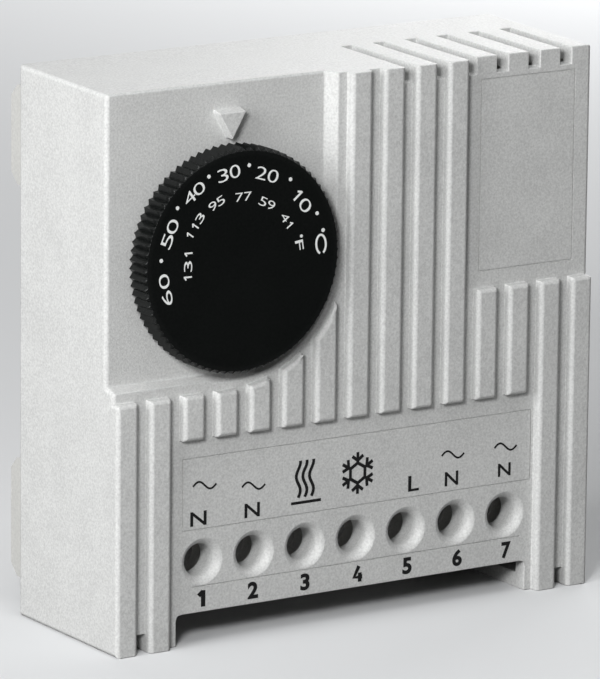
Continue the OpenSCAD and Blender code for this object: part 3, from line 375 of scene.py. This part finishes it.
def cover_edge(middle, one, other):
    """Wide rounding on the outer corners of the housing, a fine one on ribs, holes and slots."""
    side = any(abs(n.x) > 0.9 for n in (one, other)) and abs(abs(middle.x) - half_wide) < 0.05
    top = any(n.z > 0.9 for n in (one, other)) and middle.z > 70.3 and middle.x < -3.5
    square = abs(one.dot(other)) < 0.2
    if square and side:
        return corner_round
    if square and top:
        return 0.35
    return 0.13 if square else 0.2


housing_plastic = moulded("housing_plastic", (0.522, 0.527, 0.522), (0.69, 0.697, 0.688), 0.5,
                          0.17 * mm, 0.034 * mm, gloss=0.35)
hole_count, hole_pitch, first_hole, hole_z = 7, 7.6, -22.4, 10.55
hole_r, mouth_r, hole_steps = 2.1, 3.0, 96
# The solid's own plain mouths and tubes are drilled away; the next section sets rounded ones in
tube_r, drill_end, drill_step, drill_start = 3.3, 17.3, 20.85, 23.2
drill = bmesh.new()
for i in range(hole_count):
    lathed(drill, first_hole + hole_pitch * i, hole_z,
           [(0, drill_end), (tube_r, drill_end), (tube_r, drill_step), (mouth_r, drill_step),
            (mouth_r, drill_start), (0, drill_start)], hole_steps)
bmesh.ops.recalc_face_normals(drill, faces=drill.faces)
drill_holder = placed_object("drill", as_mesh(drill, "drill"))
dial_x, dial_z = -18.2, 48.8
dial_pocket = (dial_x, dial_z, 14.4, 17.5)
cover_mesh = softened("cover", "cover_shell", corner_round, cover_edge, cutter=drill_holder,
                      turned=[dial_pocket])
cover_shell = new_object("cover_shell", cover_mesh, housing_plastic, "housing")
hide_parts("cover")

# Mouths of the screwdriver holes.
# The seven holes open with a rounded funnel over a bore that leads the screwdriver to the screw. On
# the real housing they are of one piece with it.
field_depth, funnel_deep, funnel_steps = 22.8, 0.95, 12
first, last = math.radians(10), math.radians(55)
funnel = []
for k in range(funnel_steps + 1):
    slope = first + (last - first) * k / funnel_steps
    inward = (math.sin(slope) - math.sin(first)) / (math.sin(last) - math.sin(first))
    sunk = (math.cos(first) - math.cos(slope)) / (math.cos(first) - math.cos(last))
    funnel.append((mouth_r - (mouth_r - hole_r) * inward, field_depth - funnel_deep * sunk))
bore_end, bore_outer_r = 19.0, 2.9
mouth_ring = bmesh.new()
lathed(mouth_ring, 0, 0, funnel + [(hole_r, 20.5), (hole_r, bore_end), (bore_outer_r, bore_end),
                                   (bore_outer_r, 20.8), (mouth_r, 20.9), (mouth_r, field_depth)], hole_steps)
bmesh.ops.remove_doubles(mouth_ring, verts=mouth_ring.verts, dist=1e-7)
bmesh.ops.recalc_face_normals(mouth_ring, faces=mouth_ring.faces)
for face in mouth_ring.faces:
    face.smooth = True
for edge in mouth_ring.edges:
    edge.smooth = edge.calc_face_angle(0) < math.radians(25)
ring_holder = placed_object("mouth_ring", as_mesh(mouth_ring, "mouth_ring"))


def geometry_tree(name, sizes):
    """A Geometry Nodes tree that has only its named inputs so far."""
    tree = bpy.data.node_groups.new(name, "GeometryNodeTree")
    tree.interface.new_socket("Geometry", in_out="INPUT", socket_type="NodeSocketGeometry")
    for label, kind, value in sizes:
        socket = tree.interface.new_socket(label, in_out="INPUT", socket_type=kind)
        if value is not None:
            socket.default_value = value
    tree.interface.new_socket("Geometry", in_out="OUTPUT", socket_type="NodeSocketGeometry")
    return tree, put(tree, "NodeGroupInput")


def finish_tree(tree, geometry, material):
    """The end of every tree: instances become real and get their material."""
    real = put(tree, "GeometryNodeRealizeInstances", {"Geometry": geometry})
    covered = put(tree, "GeometryNodeSetMaterial", {"Geometry": real.outputs[0], "Material": material})
    put(tree, "NodeGroupOutput", {"Geometry": covered.outputs[0]})


def grown(name, tree, values, start=None):
    """The mesh that a Geometry Nodes tree makes with these values of its named inputs."""
    holder = placed_object(name, start or bpy.data.meshes.new(name))
    step = holder.modifiers.new(name, "NODES")
    step.node_group = tree
    for item in tree.interface.items_tree:
        if item.in_out == "INPUT" and item.name in values:
            step[item.identifier] = values[item.name]
    mesh = settled(holder)
    mesh.name = name
    return mesh


drilled, sizes = geometry_tree("screwdriver_holes", (
    ("Holes", "NodeSocketInt", hole_count), ("Pitch", "NodeSocketFloat", hole_pitch * mm),
    ("First Hole", "NodeSocketVector", (0, 0, 0)), ("Mouth", "NodeSocketObject", None)))
apart = put(drilled, "ShaderNodeCombineXYZ", {"X": sizes.outputs["Pitch"]})
row = put(drilled, "GeometryNodeMeshLine", {"Count": sizes.outputs["Holes"], "Offset": apart.outputs[0],
                                            "Start Location": sizes.outputs["First Hole"]})
one_mouth = put(drilled, "GeometryNodeObjectInfo", {"Object": sizes.outputs["Mouth"]})
placed = put(drilled, "GeometryNodeInstanceOnPoints", {"Points": row.outputs[0],
                                                       "Instance": one_mouth.outputs["Geometry"]})
finish_tree(drilled, placed.outputs[0], housing_plastic)
mouths = grown("screw_hole_mouths", drilled, {
    "Holes": hole_count, "Pitch": hole_pitch * mm,
    "First Hole": Vector((first_hole * mm, 0, hole_z * mm)), "Mouth": ring_holder})
bpy.data.objects.remove(ring_holder)
new_object("screw_hole_mouths", mouths, housing_plastic, "housing")

# Pointer.
# A raised triangle over the dial, moulded with the housing; its top face slopes, so it catches the
# light from above.
dial_r, pointer_gap, pointer_h = 14.3, 0.55, 3.4
pointer_tip = dial_z + dial_r + pointer_gap
pointer_top = pointer_tip + pointer_h
wedge = bmesh.new()
rear, fore = [[wedge.verts.new(((dial_x + x) * mm, front(depth), z * mm))
               for x, z in ((0, pointer_tip - low), (half, pointer_top + high), (-half, pointer_top + high))]
              for depth, half, low, high in ((20.9, 2.0, 0.06, 0.32), (22.62, 1.98, 0.03, 0.02))]
wedge.faces.new(fore)
wedge.faces.new(rear[::-1])
for k in range(3):
    wedge.faces.new((fore[k], fore[(k + 1) % 3], rear[(k + 1) % 3], rear[k]))
bmesh.ops.recalc_face_normals(wedge, faces=wedge.faces)
wedge_mesh = evaluated(as_mesh(wedge, "pointer_wedge"), "BEVEL", width=0.16 * mm, segments=3)
wedge_mesh.name = "pointer_wedge"
wedge_mesh.shade_smooth()
shade_by_patch(wedge_mesh)
new_object("pointer_wedge", wedge_mesh, housing_plastic, "housing")

# Printing on the cover.
# Black pad printing in the lettered field: signs for heating and cooling, plain terminal letters,
# and under the screw holes the numbers 1 to 7. The ink lies a few hundredths proud of the plastic.
def ink(name, colour, sheen, patchy):
    """Printing ink: an even colour with slightly patchy cover."""
    material, tree, shader = blank_material(name, sheen, Specular_IOR_Level=0.2)
    texture = put(tree, "ShaderNodeGroup", node_tree=spark_grain)
    texture.inputs["Grain Size"].default_value = 0.12 * mm
    texture.inputs["Mottle Size"].default_value = 0.8 * mm
    pale_ink = tuple(c + patchy * (1 - c) for c in colour)
    patch = two_colours(tree, texture.outputs["Mottle"], colour, pale_ink)
    bump = put(tree, "ShaderNodeBump", {"Strength": 0.6, "Distance": 0.008 * mm,
                                        "Height": texture.outputs["Height"]})
    tree.links.new(patch, shader.inputs["Base Color"])
    tree.links.new(bump.outputs[0], shader.inputs["Normal"])
    return material


half_thick = 0.01


def characters(text, weight=0.0):
    """Some characters as a closed flat mesh in the XY plane, face towards +Z. The font's own figure
    one is a bare bar, so a one with a flag is drawn for it."""
    if text == "1":
        return strokes([[(0.5, 0), (0.5, 1.75)], [(0.5, 1.66), (0.02, 1.22)]], 0.3 + 4 * weight)
    curve = bpy.data.curves.new("characters", "FONT")
    curve.body = text
    curve.extrude = half_thick
    curve.offset = weight
    curve.resolution_u = 6
    return settled(placed_object("characters", curve))


def strokes(lines, width):
    """Lines of even width, each given by its points, as closed flat ribbons in the XY plane. Each is
    a trace lower than the one before, so that crossing lines share no plane."""
    work = bmesh.new()
    for k, points in enumerate(lines):
        high = half_thick * (1 - 0.008 * k)
        points = [Vector(p) for p in points]
        rows = []
        for i, point in enumerate(points):
            before, after = points[max(i - 1, 0)], points[min(i + 1, len(points) - 1)]
            along = (after - before).normalized()
            aside = Vector((-along.y, along.x)) * width / 2
            rows.append([work.verts.new((*(point + aside * s), h)) for s, h in
                         ((1, high), (-1, high), (-1, -half_thick), (1, -half_thick))])
        for one, other in zip(rows, rows[1:]):
            for j in range(4):
                work.faces.new((one[j], one[(j + 1) % 4], other[(j + 1) % 4], other[j]))
        work.faces.new(rows[0][::-1])
        work.faces.new(rows[-1])
    bmesh.ops.recalc_face_normals(work, faces=work.faces)
    return as_mesh(work, "strokes")


def stamp(sheet, mark, centre, size, right=(1, 0, 0), up=(0, 0, 1), thick=0.03):
    """Adds a flat mark to a sheet, stretched to a width and height in millimetres about a centre."""
    low = [min(v.co[k] for v in mark.vertices) for k in range(3)]
    high = [max(v.co[k] for v in mark.vertices) for k in range(3)]
    right, up = Vector(right), Vector(up)
    out = right.cross(up)
    for vertex in mark.vertices:
        share = [(vertex.co[k] - low[k]) / (high[k] - low[k]) for k in range(3)]
        shift = right * (share[0] - 0.5) * size[0] + up * (share[1] - 0.5) * size[1] + out * share[2] * thick
        vertex.co = Vector(centre) * mm + shift * mm
    sheet.from_mesh(mark)
    bpy.data.meshes.remove(mark)


def printed(sheet, name, material, body):
    """A finished sheet of marks as one piece."""
    bmesh.ops.remove_doubles(sheet, verts=sheet.verts, dist=1e-7)
    bmesh.ops.recalc_face_normals(sheet, faces=sheet.faces)
    new_object(name, as_mesh(sheet, name), material, body)


black_ink = ink("black_ink", (0.004, 0.004, 0.0045), 0.55, 0.008)
field_y = front(field_depth) / mm
letters = bmesh.new()
for text, x0, x1, z0, z1 in (("N", -24.17, -21.8, 15.2, 17.05), ("N", -16.2, -13.95, 15.25, 17.1),
                             ("L", 8.33, 9.95, 15.47, 17.5), ("N", 13.92, 15.96, 15.43, 17.3),
                             ("N", 22.1, 24.05, 15.63, 17.35)):
    stamp(letters, characters(text, 0.012), ((x0 + x1) / 2, field_y, (z0 + z1) / 2), (x1 - x0, z1 - z0))
# Alternating current signs over the neutral terminals
for x, z in ((-22.1, 20.3), (-14.9, 19.3), (15.1, 19.5), (23.2, 19.5)):
    wave = [(t / 12 - 1, 0.3 * math.sin(t / 12 * math.pi)) for t in range(0, 25)]
    stamp(letters, strokes([wave], 0.14), (x, field_y, z), (3.6, 1.3))
# Heating: three rising waves over a bar
rising = [[(0.95 * k + 0.3 * math.sin(t / 16 * 2.6 * math.pi), 4.8 * t / 16) for t in range(0, 17)]
          for k in range(3)]
stamp(letters, strokes(rising, 0.4), (-7.28, field_y, 19.2), (3.0, 4.85))
stamp(letters, strokes([[(0, 0), (1, 0)]], 0.1), (-7.08, field_y, 16.2), (4.45, 0.36))


# Cooling: six branched arms on the corners of a hexagon
def spoke(k, radius, off):
    """A point of the snowflake, off by some degrees from its arm k."""
    turn = math.radians(60 * k + 90 + off)
    return radius * math.cos(turn), radius * math.sin(turn)


flake = []
for k in range(6):
    flake += [[spoke(k, 1.25, 0), spoke(k, 2.66, 0)], [spoke(k, 1.3, -1), spoke(k, 1.3, 61)],
              [spoke(k, 2.35, 21), spoke(k, 1.6, 0)], [spoke(k, 2.35, -21), spoke(k, 1.6, 0)]]
stamp(letters, strokes(flake, 0.42), (0.63, field_y, 18.93), (4.7, 5.42))
printed(letters, "field_print", black_ink, "housing")

numbers = bmesh.new()
for number, (x0, x1) in enumerate(((-23.1, -21.9), (-15.64, -14.1), (-7.79, -6.42), (0.02, 1.5),
                                   (7.61, 9.01), (15.26, 16.72), (22.84, 24.27)), 1):
    if number == 4:
        mark = strokes([[(0.6, 1.6), (0, 0.5), (1.02, 0.5)], [(0.72, 0.92), (0.72, 0)]], 0.44)
    else:
        mark = characters(str(number), 0.038)
    stamp(numbers, mark, ((x0 + x1) / 2, field_y, 5.78), (x1 - x0, 2.2))
printed(numbers, "terminal_numbers", black_ink, "housing")

# Base plate and its four screws.
# The moulded back of the housing, in a slightly darker plastic from a smoother mould. Two blocks stand off it
# above and below the rail, and four cross-head screws hold it to the cover.
block_round, block_end = 0.25, 32.9


def plain_edge(middle, one, other):
    """The ends of the blocks are rounded; the narrow ribs and the hooks keep the mould's sharp edges."""
    return block_round if abs(middle.x) > block_end else 0


base_plastic = moulded("base_plastic", (0.50, 0.50, 0.485), (0.58, 0.58, 0.56), 0.46, 0.22 * mm, 0.01 * mm)
base_mesh = softened("base_plate", "base_back", block_round, plain_edge, 2)
base_back = new_object("base_back", base_mesh, base_plastic, "housing")
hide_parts("base_plate")


def line_group():
    """Fine lines left by drawing, turning or rolling: a height and a broad stain."""
    group = bpy.data.node_groups.new("drawn_lines", "ShaderNodeTree")
    for name, kind, value in (("Stretch", "NodeSocketVector", (1, 1, 0.04)),
                              ("Line Size", "NodeSocketFloat", 0.0001)):
        group.interface.new_socket(name, in_out="INPUT", socket_type=kind).default_value = value
    for name in ("Height", "Stain"):
        group.interface.new_socket(name, in_out="OUTPUT", socket_type="NodeSocketFloat")
    given = put(group, "NodeGroupInput")
    place = put(group, "ShaderNodeTexCoord")
    finer = put(group, "ShaderNodeMath", {0: 1, 1: given.outputs["Line Size"]}, operation="DIVIDE")
    long = put(group, "ShaderNodeVectorMath", {0: place.outputs["Object"], 1: given.outputs["Stretch"]},
               operation="MULTIPLY")
    fine = put(group, "ShaderNodeVectorMath", {0: long.outputs[0], "Scale": finer.outputs[0]},
               operation="SCALE")
    lines = put(group, "ShaderNodeTexNoise", {"Vector": fine.outputs[0], "Scale": 1.0, "Detail": 2})
    stain = put(group, "ShaderNodeTexNoise", {"Vector": place.outputs["Object"], "Scale": 420.0, "Detail": 5})
    put(group, "NodeGroupOutput", {"Height": lines.outputs[0], "Stain": stain.outputs[0]})
    return group


drawn_lines = line_group()


def worked_metal(name, dull, bright, roughness, stretch, line=0.1 * mm):
    """Worked metal: lines along one direction, with dull and bright patches."""
    material, tree, shader = blank_material(name, roughness, Metallic=1.0)
    texture = put(tree, "ShaderNodeGroup", node_tree=drawn_lines)
    texture.inputs["Stretch"].default_value = stretch
    texture.inputs["Line Size"].default_value = line
    spread = put(tree, "ShaderNodeMapRange", {"Value": texture.outputs["Stain"],
                                              "From Min": 0.35, "From Max": 0.65})
    colour = two_colours(tree, spread.outputs[0], dull, bright)
    rough = put(tree, "ShaderNodeMapRange", {"Value": texture.outputs["Height"], "To Min": roughness - 0.1,
                                             "To Max": roughness + 0.12})
    bump = put(tree, "ShaderNodeBump", {"Strength": 0.5, "Distance": 0.01 * mm,
                                        "Height": texture.outputs["Height"]})
    tree.links.new(colour, shader.inputs["Base Color"])
    tree.links.new(rough.outputs[0], shader.inputs["Roughness"])
    tree.links.new(bump.outputs[0], shader.inputs["Normal"])
    return material


def dress(material, *names):
    """Gives CAD nodes whose shape is right their material."""
    for name in names:
        slots = solids[name].data.materials
        slots.clear()
        slots.append(material)


turned_steel = worked_metal("turned_steel", (0.42, 0.42, 0.43), (0.56, 0.56, 0.57), 0.34, (1, 0.05, 1))
dress(turned_steel, "housing_screws")

# Rail clip and its spring.
# The dark sliding clip under the rail's lower lip, with a screwdriver pocket at its foot, and the coil
# of spring wire that pushes it up from a peg on the base plate.
clip_plastic = moulded("clip_plastic", (0.028, 0.03, 0.033), (0.045, 0.047, 0.05), 0.42, 0.2 * mm, 0.008 * mm)
clip_round = 0.2
clip_mesh = softened("rail_clip", "clip_slider", clip_round, lambda middle, one, other: clip_round, 2)
clip_slider = new_object("clip_slider", clip_mesh, clip_plastic, "clip")
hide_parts("rail_clip")

spring_steel = worked_metal("spring_steel", (0.38, 0.38, 0.39), (0.52, 0.52, 0.53), 0.3, (1, 1, 0.3))
spring_low, spring_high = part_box("rail_clip_spring")
coil, sizes = geometry_tree("wound_coil", (
    ("Turns", "NodeSocketFloat", 7.0), ("Coil Radius", "NodeSocketFloat", 0.00135),
    ("Length", "NodeSocketFloat", 0.0078), ("Wire Radius", "NodeSocketFloat", 0.00025),
    ("Place", "NodeSocketVector", (0, 0, 0))))
helix = put(coil, "GeometryNodeCurveSpiral", {"Resolution": 32, "Rotations": sizes.outputs["Turns"],
                                              "Start Radius": sizes.outputs["Coil Radius"],
                                              "End Radius": sizes.outputs["Coil Radius"],
                                              "Height": sizes.outputs["Length"]})
wire = put(coil, "GeometryNodeCurvePrimitiveCircle", {"Resolution": 12,
                                                      "Radius": sizes.outputs["Wire Radius"]})
tube = put(coil, "GeometryNodeCurveToMesh", {"Curve": helix.outputs[0], "Profile Curve": wire.outputs[0],
                                             "Fill Caps": True})
moved = put(coil, "GeometryNodeTransform", {"Geometry": tube.outputs[0],
                                            "Translation": sizes.outputs["Place"]})
finish_tree(coil, moved.outputs[0], spring_steel)
spring_wire = 0.25 * mm
spring_mesh = grown("clip_coil", coil, {
    "Turns": 7.0, "Coil Radius": 1.35 * mm, "Wire Radius": spring_wire,
    "Length": spring_high.z - spring_low.z - 2 * spring_wire,
    "Place": Vector((0, front(-3.15), spring_low.z + spring_wire))})
clip_coil = new_object("clip_coil", spring_mesh, spring_steel, "housing")
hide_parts("rail_clip_spring")
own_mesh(clip_coil)

# Dial.
# The black setting knob, moulded with eighty sharp grip teeth round its rim, a boss for the spindle
# and a stop arc behind. Its face carries the white scale in degrees.
face_depth, rim_steps = 25.17, 640
profile = [(0, face_depth), (13.3, face_depth), (13.86, face_depth - 0.02), (14.0, face_depth - 0.08),
           (14.14, face_depth - 0.22), (14.26, face_depth - 0.42), (dial_r, face_depth - 0.6), (dial_r, 23.4),
           (dial_r, 21.6), (14.1, 21.4), (12.5, 21.4), (12.5, 23.8), (4.1, 23.8), (4.1, 18.4), (2.5, 18.4),
           (2.5, 23.5), (0, 23.5)]
lathe = bmesh.new()
lathed(lathe, dial_x, dial_z, profile, rim_steps)
# The stop arc on the back of the face
stop_steps, stop_middle, stop_span = 48, 107.55, 180.7
corners = []
for i in range(stop_steps + 1):
    turn = math.radians(stop_middle + stop_span * (i / stop_steps - 0.5))
    corners.append([lathe.verts.new(((dial_x + radius * math.cos(turn)) * mm, front(depth),
                                     (dial_z + radius * math.sin(turn)) * mm))
                    for radius, depth in ((9, 21.9), (10.6, 21.9), (10.6, 23.9), (9, 23.9))])
for one, other in zip(corners, corners[1:]):
    for j in range(4):
        lathe.faces.new((one[j], one[(j + 1) % 4], other[(j + 1) % 4], other[j]))
lathe.faces.new(corners[0])
lathe.faces.new(corners[-1][::-1])
bmesh.ops.recalc_face_normals(lathe, faces=lathe.faces)
dial_mesh = as_mesh(lathe, "dial_body")

dial_plastic = moulded("dial_plastic", (0.0025, 0.0032, 0.003), (0.005, 0.0058, 0.0055), 0.34,
                       0.2 * mm, 0.012 * mm, gloss=0.1)
# The grip is polished, and the face inside it is not
tree = dial_plastic.node_tree
shader = next(node for node in tree.nodes if node.type == "BSDF_PRINCIPLED")
shader.inputs["Coat Roughness"].default_value = 0.1
spot = put(tree, "ShaderNodeTexCoord")
apart = put(tree, "ShaderNodeVectorMath", {0: spot.outputs["Object"], 1: (dial_x * mm, 0, dial_z * mm)},
            operation="SUBTRACT")
apart = put(tree, "ShaderNodeVectorMath", {0: apart.outputs[0], 1: (1, 0, 1)}, operation="MULTIPLY")
reach = put(tree, "ShaderNodeVectorMath", {0: apart.outputs[0]}, operation="LENGTH")
polish = put(tree, "ShaderNodeMapRange", {"Value": reach.outputs["Value"], "From Min": 13.2 * mm,
                                          "From Max": 13.5 * mm, "To Max": 0.2})
tree.links.new(polish.outputs[0], shader.inputs["Coat Weight"])
toothed, sizes = geometry_tree("grip_teeth", (
    ("Teeth", "NodeSocketFloat", 80.0), ("Tooth Depth", "NodeSocketFloat", 0.0004),
    ("Smooth Radius", "NodeSocketFloat", 0.0132), ("Rim Radius", "NodeSocketFloat", 0.0143),
    ("Axis", "NodeSocketVector", (0, 0, 0))))
here = put(toothed, "GeometryNodeInputPosition")
arm_from_axis = put(toothed, "ShaderNodeVectorMath", {0: here.outputs[0], 1: sizes.outputs["Axis"]},
                    operation="SUBTRACT")
flat = put(toothed, "ShaderNodeVectorMath", {0: arm_from_axis.outputs[0], 1: (1, 0, 1)}, operation="MULTIPLY")
parts_of = put(toothed, "ShaderNodeSeparateXYZ", {0: flat.outputs[0]})
turn = put(toothed, "ShaderNodeMath", {0: parts_of.outputs[2], 1: parts_of.outputs[0]}, operation="ARCTAN2")
count = put(toothed, "ShaderNodeMath", {0: turn.outputs[0], 1: sizes.outputs["Teeth"]}, operation="MULTIPLY")
count = put(toothed, "ShaderNodeMath", {0: count.outputs[0], 1: 2 * math.pi}, operation="DIVIDE")
ridge = put(toothed, "ShaderNodeMath", {0: count.outputs[0], 1: 0.5}, operation="PINGPONG")
reach = put(toothed, "ShaderNodeVectorMath", {0: flat.outputs[0]}, operation="LENGTH")
mask = put(toothed, "ShaderNodeMapRange", {"Value": reach.outputs["Value"],
                                           "From Min": sizes.outputs["Smooth Radius"],
                                           "From Max": sizes.outputs["Rim Radius"]})
inward = put(toothed, "ShaderNodeMath", {0: ridge.outputs[0], 1: -2.0}, operation="MULTIPLY")
inward = put(toothed, "ShaderNodeMath", {0: inward.outputs[0], 1: sizes.outputs["Tooth Depth"]},
             operation="MULTIPLY")
inward = put(toothed, "ShaderNodeMath", {0: inward.outputs[0], 1: mask.outputs[0]}, operation="MULTIPLY")
outward = put(toothed, "ShaderNodeVectorMath", {0: flat.outputs[0]}, operation="NORMALIZE")
shift = put(toothed, "ShaderNodeVectorMath", {0: outward.outputs[0], "Scale": inward.outputs[0]},
            operation="SCALE")
cut = put(toothed, "GeometryNodeSetPosition", {"Geometry": sizes.outputs["Geometry"],
                                               "Offset": shift.outputs[0]})
finish_tree(toothed, cut.outputs[0], dial_plastic)
dial_mesh = grown("dial_body", toothed, {"Teeth": 80.0, "Tooth Depth": 0.5 * mm,
                                         "Smooth Radius": 13.85 * mm, "Rim Radius": 14.2 * mm,
                                         "Axis": Vector((dial_x * mm, 0, dial_z * mm))}, dial_mesh)
dial_knob = new_object("dial_knob", dial_mesh, dial_plastic, "dial_group")
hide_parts("dial")

# Scale on the dial.
# White printing: large Celsius numbers with dots between them, and small Fahrenheit numbers inside.
white_ink = ink("white_ink", (0.84, 0.86, 0.85), 0.5, 0.1)
print_y = front(face_depth) / mm


def on_dial(radius, degrees):
    """Place on the dial's face, with the directions that turn a mark's top outward."""
    turn = math.radians(degrees)
    out = Vector((math.cos(turn), 0, math.sin(turn)))
    aside = Vector((math.sin(turn), 0, -math.cos(turn)))
    return Vector((dial_x, print_y, dial_z)) + out * radius, aside, out


scale = bmesh.new()
thinned, narrow_one = -0.008, 0.4
for text, radius, degrees, pitch, wide, high in (
        ("60", 11.45, 191.8, 2.2, 1.85, 1.45), ("50", 11.6, 156.6, 1.9, 1.8, 1.55),
        ("40", 11.75, 127.5, 1.7, 1.65, 1.5), ("30", 11.5, 100.9, 1.78, 1.5, 1.65),
        ("20", 11.1, 72.1, 1.78, 1.55, 1.6), ("10", 10.85, 39.1, 1.9, 1.75, 1.6),
        ("131", 8.0, 178.4, 1.5, 1.35, 1.15), ("113", 8.7, 144.2, 1.28, 1.2, 1.1),
        ("95", 8.65, 116.9, 1.25, 1.12, 1.12), ("77", 8.15, 90.2, 1.25, 1.08, 1.1),
        ("59", 7.75, 63.8, 1.3, 1.1, 1.12), ("41", 7.75, 34.5, 1.2, 1.12, 1.1)):
    centre, aside, out = on_dial(radius, degrees)
    for k, digit in enumerate(text):
        stamp(scale, characters(digit, thinned), centre + aside * pitch * (k - (len(text) - 1) / 2),
              (wide * (narrow_one if digit == "1" else 1), high), aside, out)
centre, aside, out = on_dial(8.3, 8.0)
stamp(scale, characters("F"), centre, (1.25, 1.15), aside, out)


def bow(wide, high, gap):
    """Points of an oval that is open at its right for a number of degrees."""
    turns = [math.radians(gap / 2 + (360 - gap) * k / 40) for k in range(41)]
    return [(wide / 2 * math.cos(turn), high / 2 * math.sin(turn)) for turn in turns]


# The open letter of Celsius, and the two small rings of the degree signs
for radius, degrees, wide, high, gap, line in (
        (11.45, 4.9, 2.3, 1.4, 40, 0.27), (12.0, 12.9, 0.3, 0.3, 0, 0.2), (8.8, 15.0, 0.24, 0.24, 0, 0.16)):
    centre, aside, out = on_dial(radius, degrees)
    stamp(scale, strokes([bow(wide, high, gap)], line), centre, (wide + line, high + line), aside, out)
printed(scale, "dial_numbers", white_ink, "dial_group")

dotted, sizes = geometry_tree("printed_dots", (
    ("Dot Radius", "NodeSocketFloat", 0.00025), ("Thickness", "NodeSocketFloat", 0.00003)))
disc = put(dotted, "GeometryNodeMeshCylinder", {"Vertices": 20, "Radius": sizes.outputs["Dot Radius"],
                                                "Depth": sizes.outputs["Thickness"]})
placed = put(dotted, "GeometryNodeInstanceOnPoints", {"Points": sizes.outputs["Geometry"],
                                                      "Instance": disc.outputs[0],
                                                      "Rotation": (math.pi / 2, 0, 0)})
finish_tree(dotted, placed.outputs[0], white_ink)
dot_thick = 0.03
half_dot = Vector((0, dot_thick / 2, 0))
places = bpy.data.meshes.new("dot_places")
places.from_pydata([(on_dial(radius, degrees)[0] - half_dot) * mm for radius, degrees in (
    (11.95, 173.4), (12.3, 141.1), (12.3, 114.4), (12.05, 86.4), (11.8, 54.7), (11.85, 24.5))], [], [])
dots = grown("dial_dots", dotted, {"Dot Radius": 0.25 * mm, "Thickness": dot_thick * mm}, places)
new_object("dial_dots", dots, white_ink, "dial_group")

# Spindle, bush, ring and cam.
# A turned brass spindle runs in a brass bush under a steel retaining ring, and carries the white
# moulded cam that lifts the lever.
turned_brass = worked_metal("turned_brass", (0.56, 0.38, 0.13), (0.70, 0.50, 0.20), 0.3, (1, 0.05, 1))
stamped_steel = worked_metal("stamped_steel", (0.40, 0.40, 0.41), (0.54, 0.54, 0.55), 0.36, (0.08, 1, 1))
cam_plastic = moulded("cam_plastic", (0.66, 0.66, 0.62), (0.76, 0.76, 0.72), 0.38, 0.15 * mm, 0.006 * mm)
dress(turned_brass, "spindle", "spindle_bush", "calibration_screw")
dress(stamped_steel, "spindle_ring", "pivot_pin", "lever_spring", "strip_rivets", "armature")
dress(cam_plastic, "setting_cam")

# Switch frame, lever and bimetal strip.
# Zinc plated sheet steel, stamped and bent; the lever turns on a pin and carries the rolled strip.
zinc_plate = worked_metal("zinc_plate", (0.52, 0.54, 0.57), (0.68, 0.69, 0.70), 0.4, (0.1, 1, 1))
rolled_strip = worked_metal("rolled_strip", (0.44, 0.40, 0.32), (0.58, 0.54, 0.45), 0.32, (0.04, 1, 1))
dress(zinc_plate, "switch_frame", "setting_lever")
dress(rolled_strip, "bimetal_strip")

# Changeover switch.
# A copper alloy leaf with silver contact rivets swings between two brass strips held in a block of
# pressed laminate; a sintered magnet on the common contact makes it snap.
rolled_copper = worked_metal("rolled_copper", (0.58, 0.30, 0.15), (0.74, 0.44, 0.25), 0.28, (0.04, 1, 1))
stamped_brass = worked_metal("stamped_brass", (0.55, 0.38, 0.14), (0.72, 0.52, 0.22), 0.34, (1, 1, 0.05))
contact_silver = worked_metal("contact_silver", (0.66, 0.65, 0.62), (0.82, 0.81, 0.79), 0.24, (1, 1, 1))
sintered = moulded("sintered_magnet", (0.02, 0.02, 0.022), (0.045, 0.045, 0.05), 0.6, 0.1 * mm, 0.015 * mm)
laminate = moulded("pressed_laminate", (0.30, 0.20, 0.09), (0.42, 0.30, 0.15), 0.45, 0.25 * mm, 0.008 * mm)
dress(rolled_copper, "contact_arm")
dress(stamped_brass, "common_contact", "heating_contact", "cooling_contact", "contact_bars")
dress(contact_silver, "moving_contact", "fixed_contacts")
dress(sintered, "snap_magnet")
dress(laminate, "contact_block")

# Circuit board and resistors.
# Green lacquered laminate with copper tracks under the lacquer, and four cement coated resistors.
lacquer, tree, shader = blank_material("green_lacquer", 0.28, Coat_Roughness=0.15)
spot = put(tree, "ShaderNodeTexCoord")
tracks = put(tree, "ShaderNodeTexBrick", {"Vector": spot.outputs["Object"], "Scale": 260.0,
                                          "Mortar Size": 0.09, "Mortar Smooth": 0.1,
                                          "Color1": (0, 0, 0, 1), "Color2": (0, 0, 0, 1),
                                          "Mortar": (1, 1, 1, 1)})
weave = put(tree, "ShaderNodeTexNoise", {"Vector": spot.outputs["Object"], "Scale": 1800.0, "Detail": 3})
bare = two_colours(tree, weave.outputs[0], (0.008, 0.055, 0.02), (0.016, 0.085, 0.03))
green = put(tree, "ShaderNodeMix", {0: tracks.outputs["Color"], 6: bare, 7: (0.03, 0.15, 0.05, 1)},
            data_type="RGBA")
tree.links.new(green.outputs[2], shader.inputs["Base Color"])
raised = put(tree, "ShaderNodeBump", {"Strength": 1, "Distance": 0.03 * mm,
                                      "Height": tracks.outputs["Color"]})
tree.links.new(raised.outputs[0], shader.inputs["Normal"])
cement = moulded("cement_coat", (0.10, 0.16, 0.09), (0.17, 0.24, 0.15), 0.5, 0.3 * mm, 0.02 * mm)
dress(lacquer, "circuit_board")
dress(cement, "feedback_resistors")

# Terminals.
# Seven zinc plated screws and clamp cages in one moulded block; the screws are right-handed.
block_plastic = moulded("block_plastic", (0.40, 0.40, 0.385), (0.50, 0.50, 0.48), 0.48, 0.2 * mm, 0.01 * mm)
dress(block_plastic, "terminal_block")
dress(zinc_plate, *(f"{kind}_{i}" for kind in ("terminal_screw", "clamp_cage") for i in range(1, 8)))
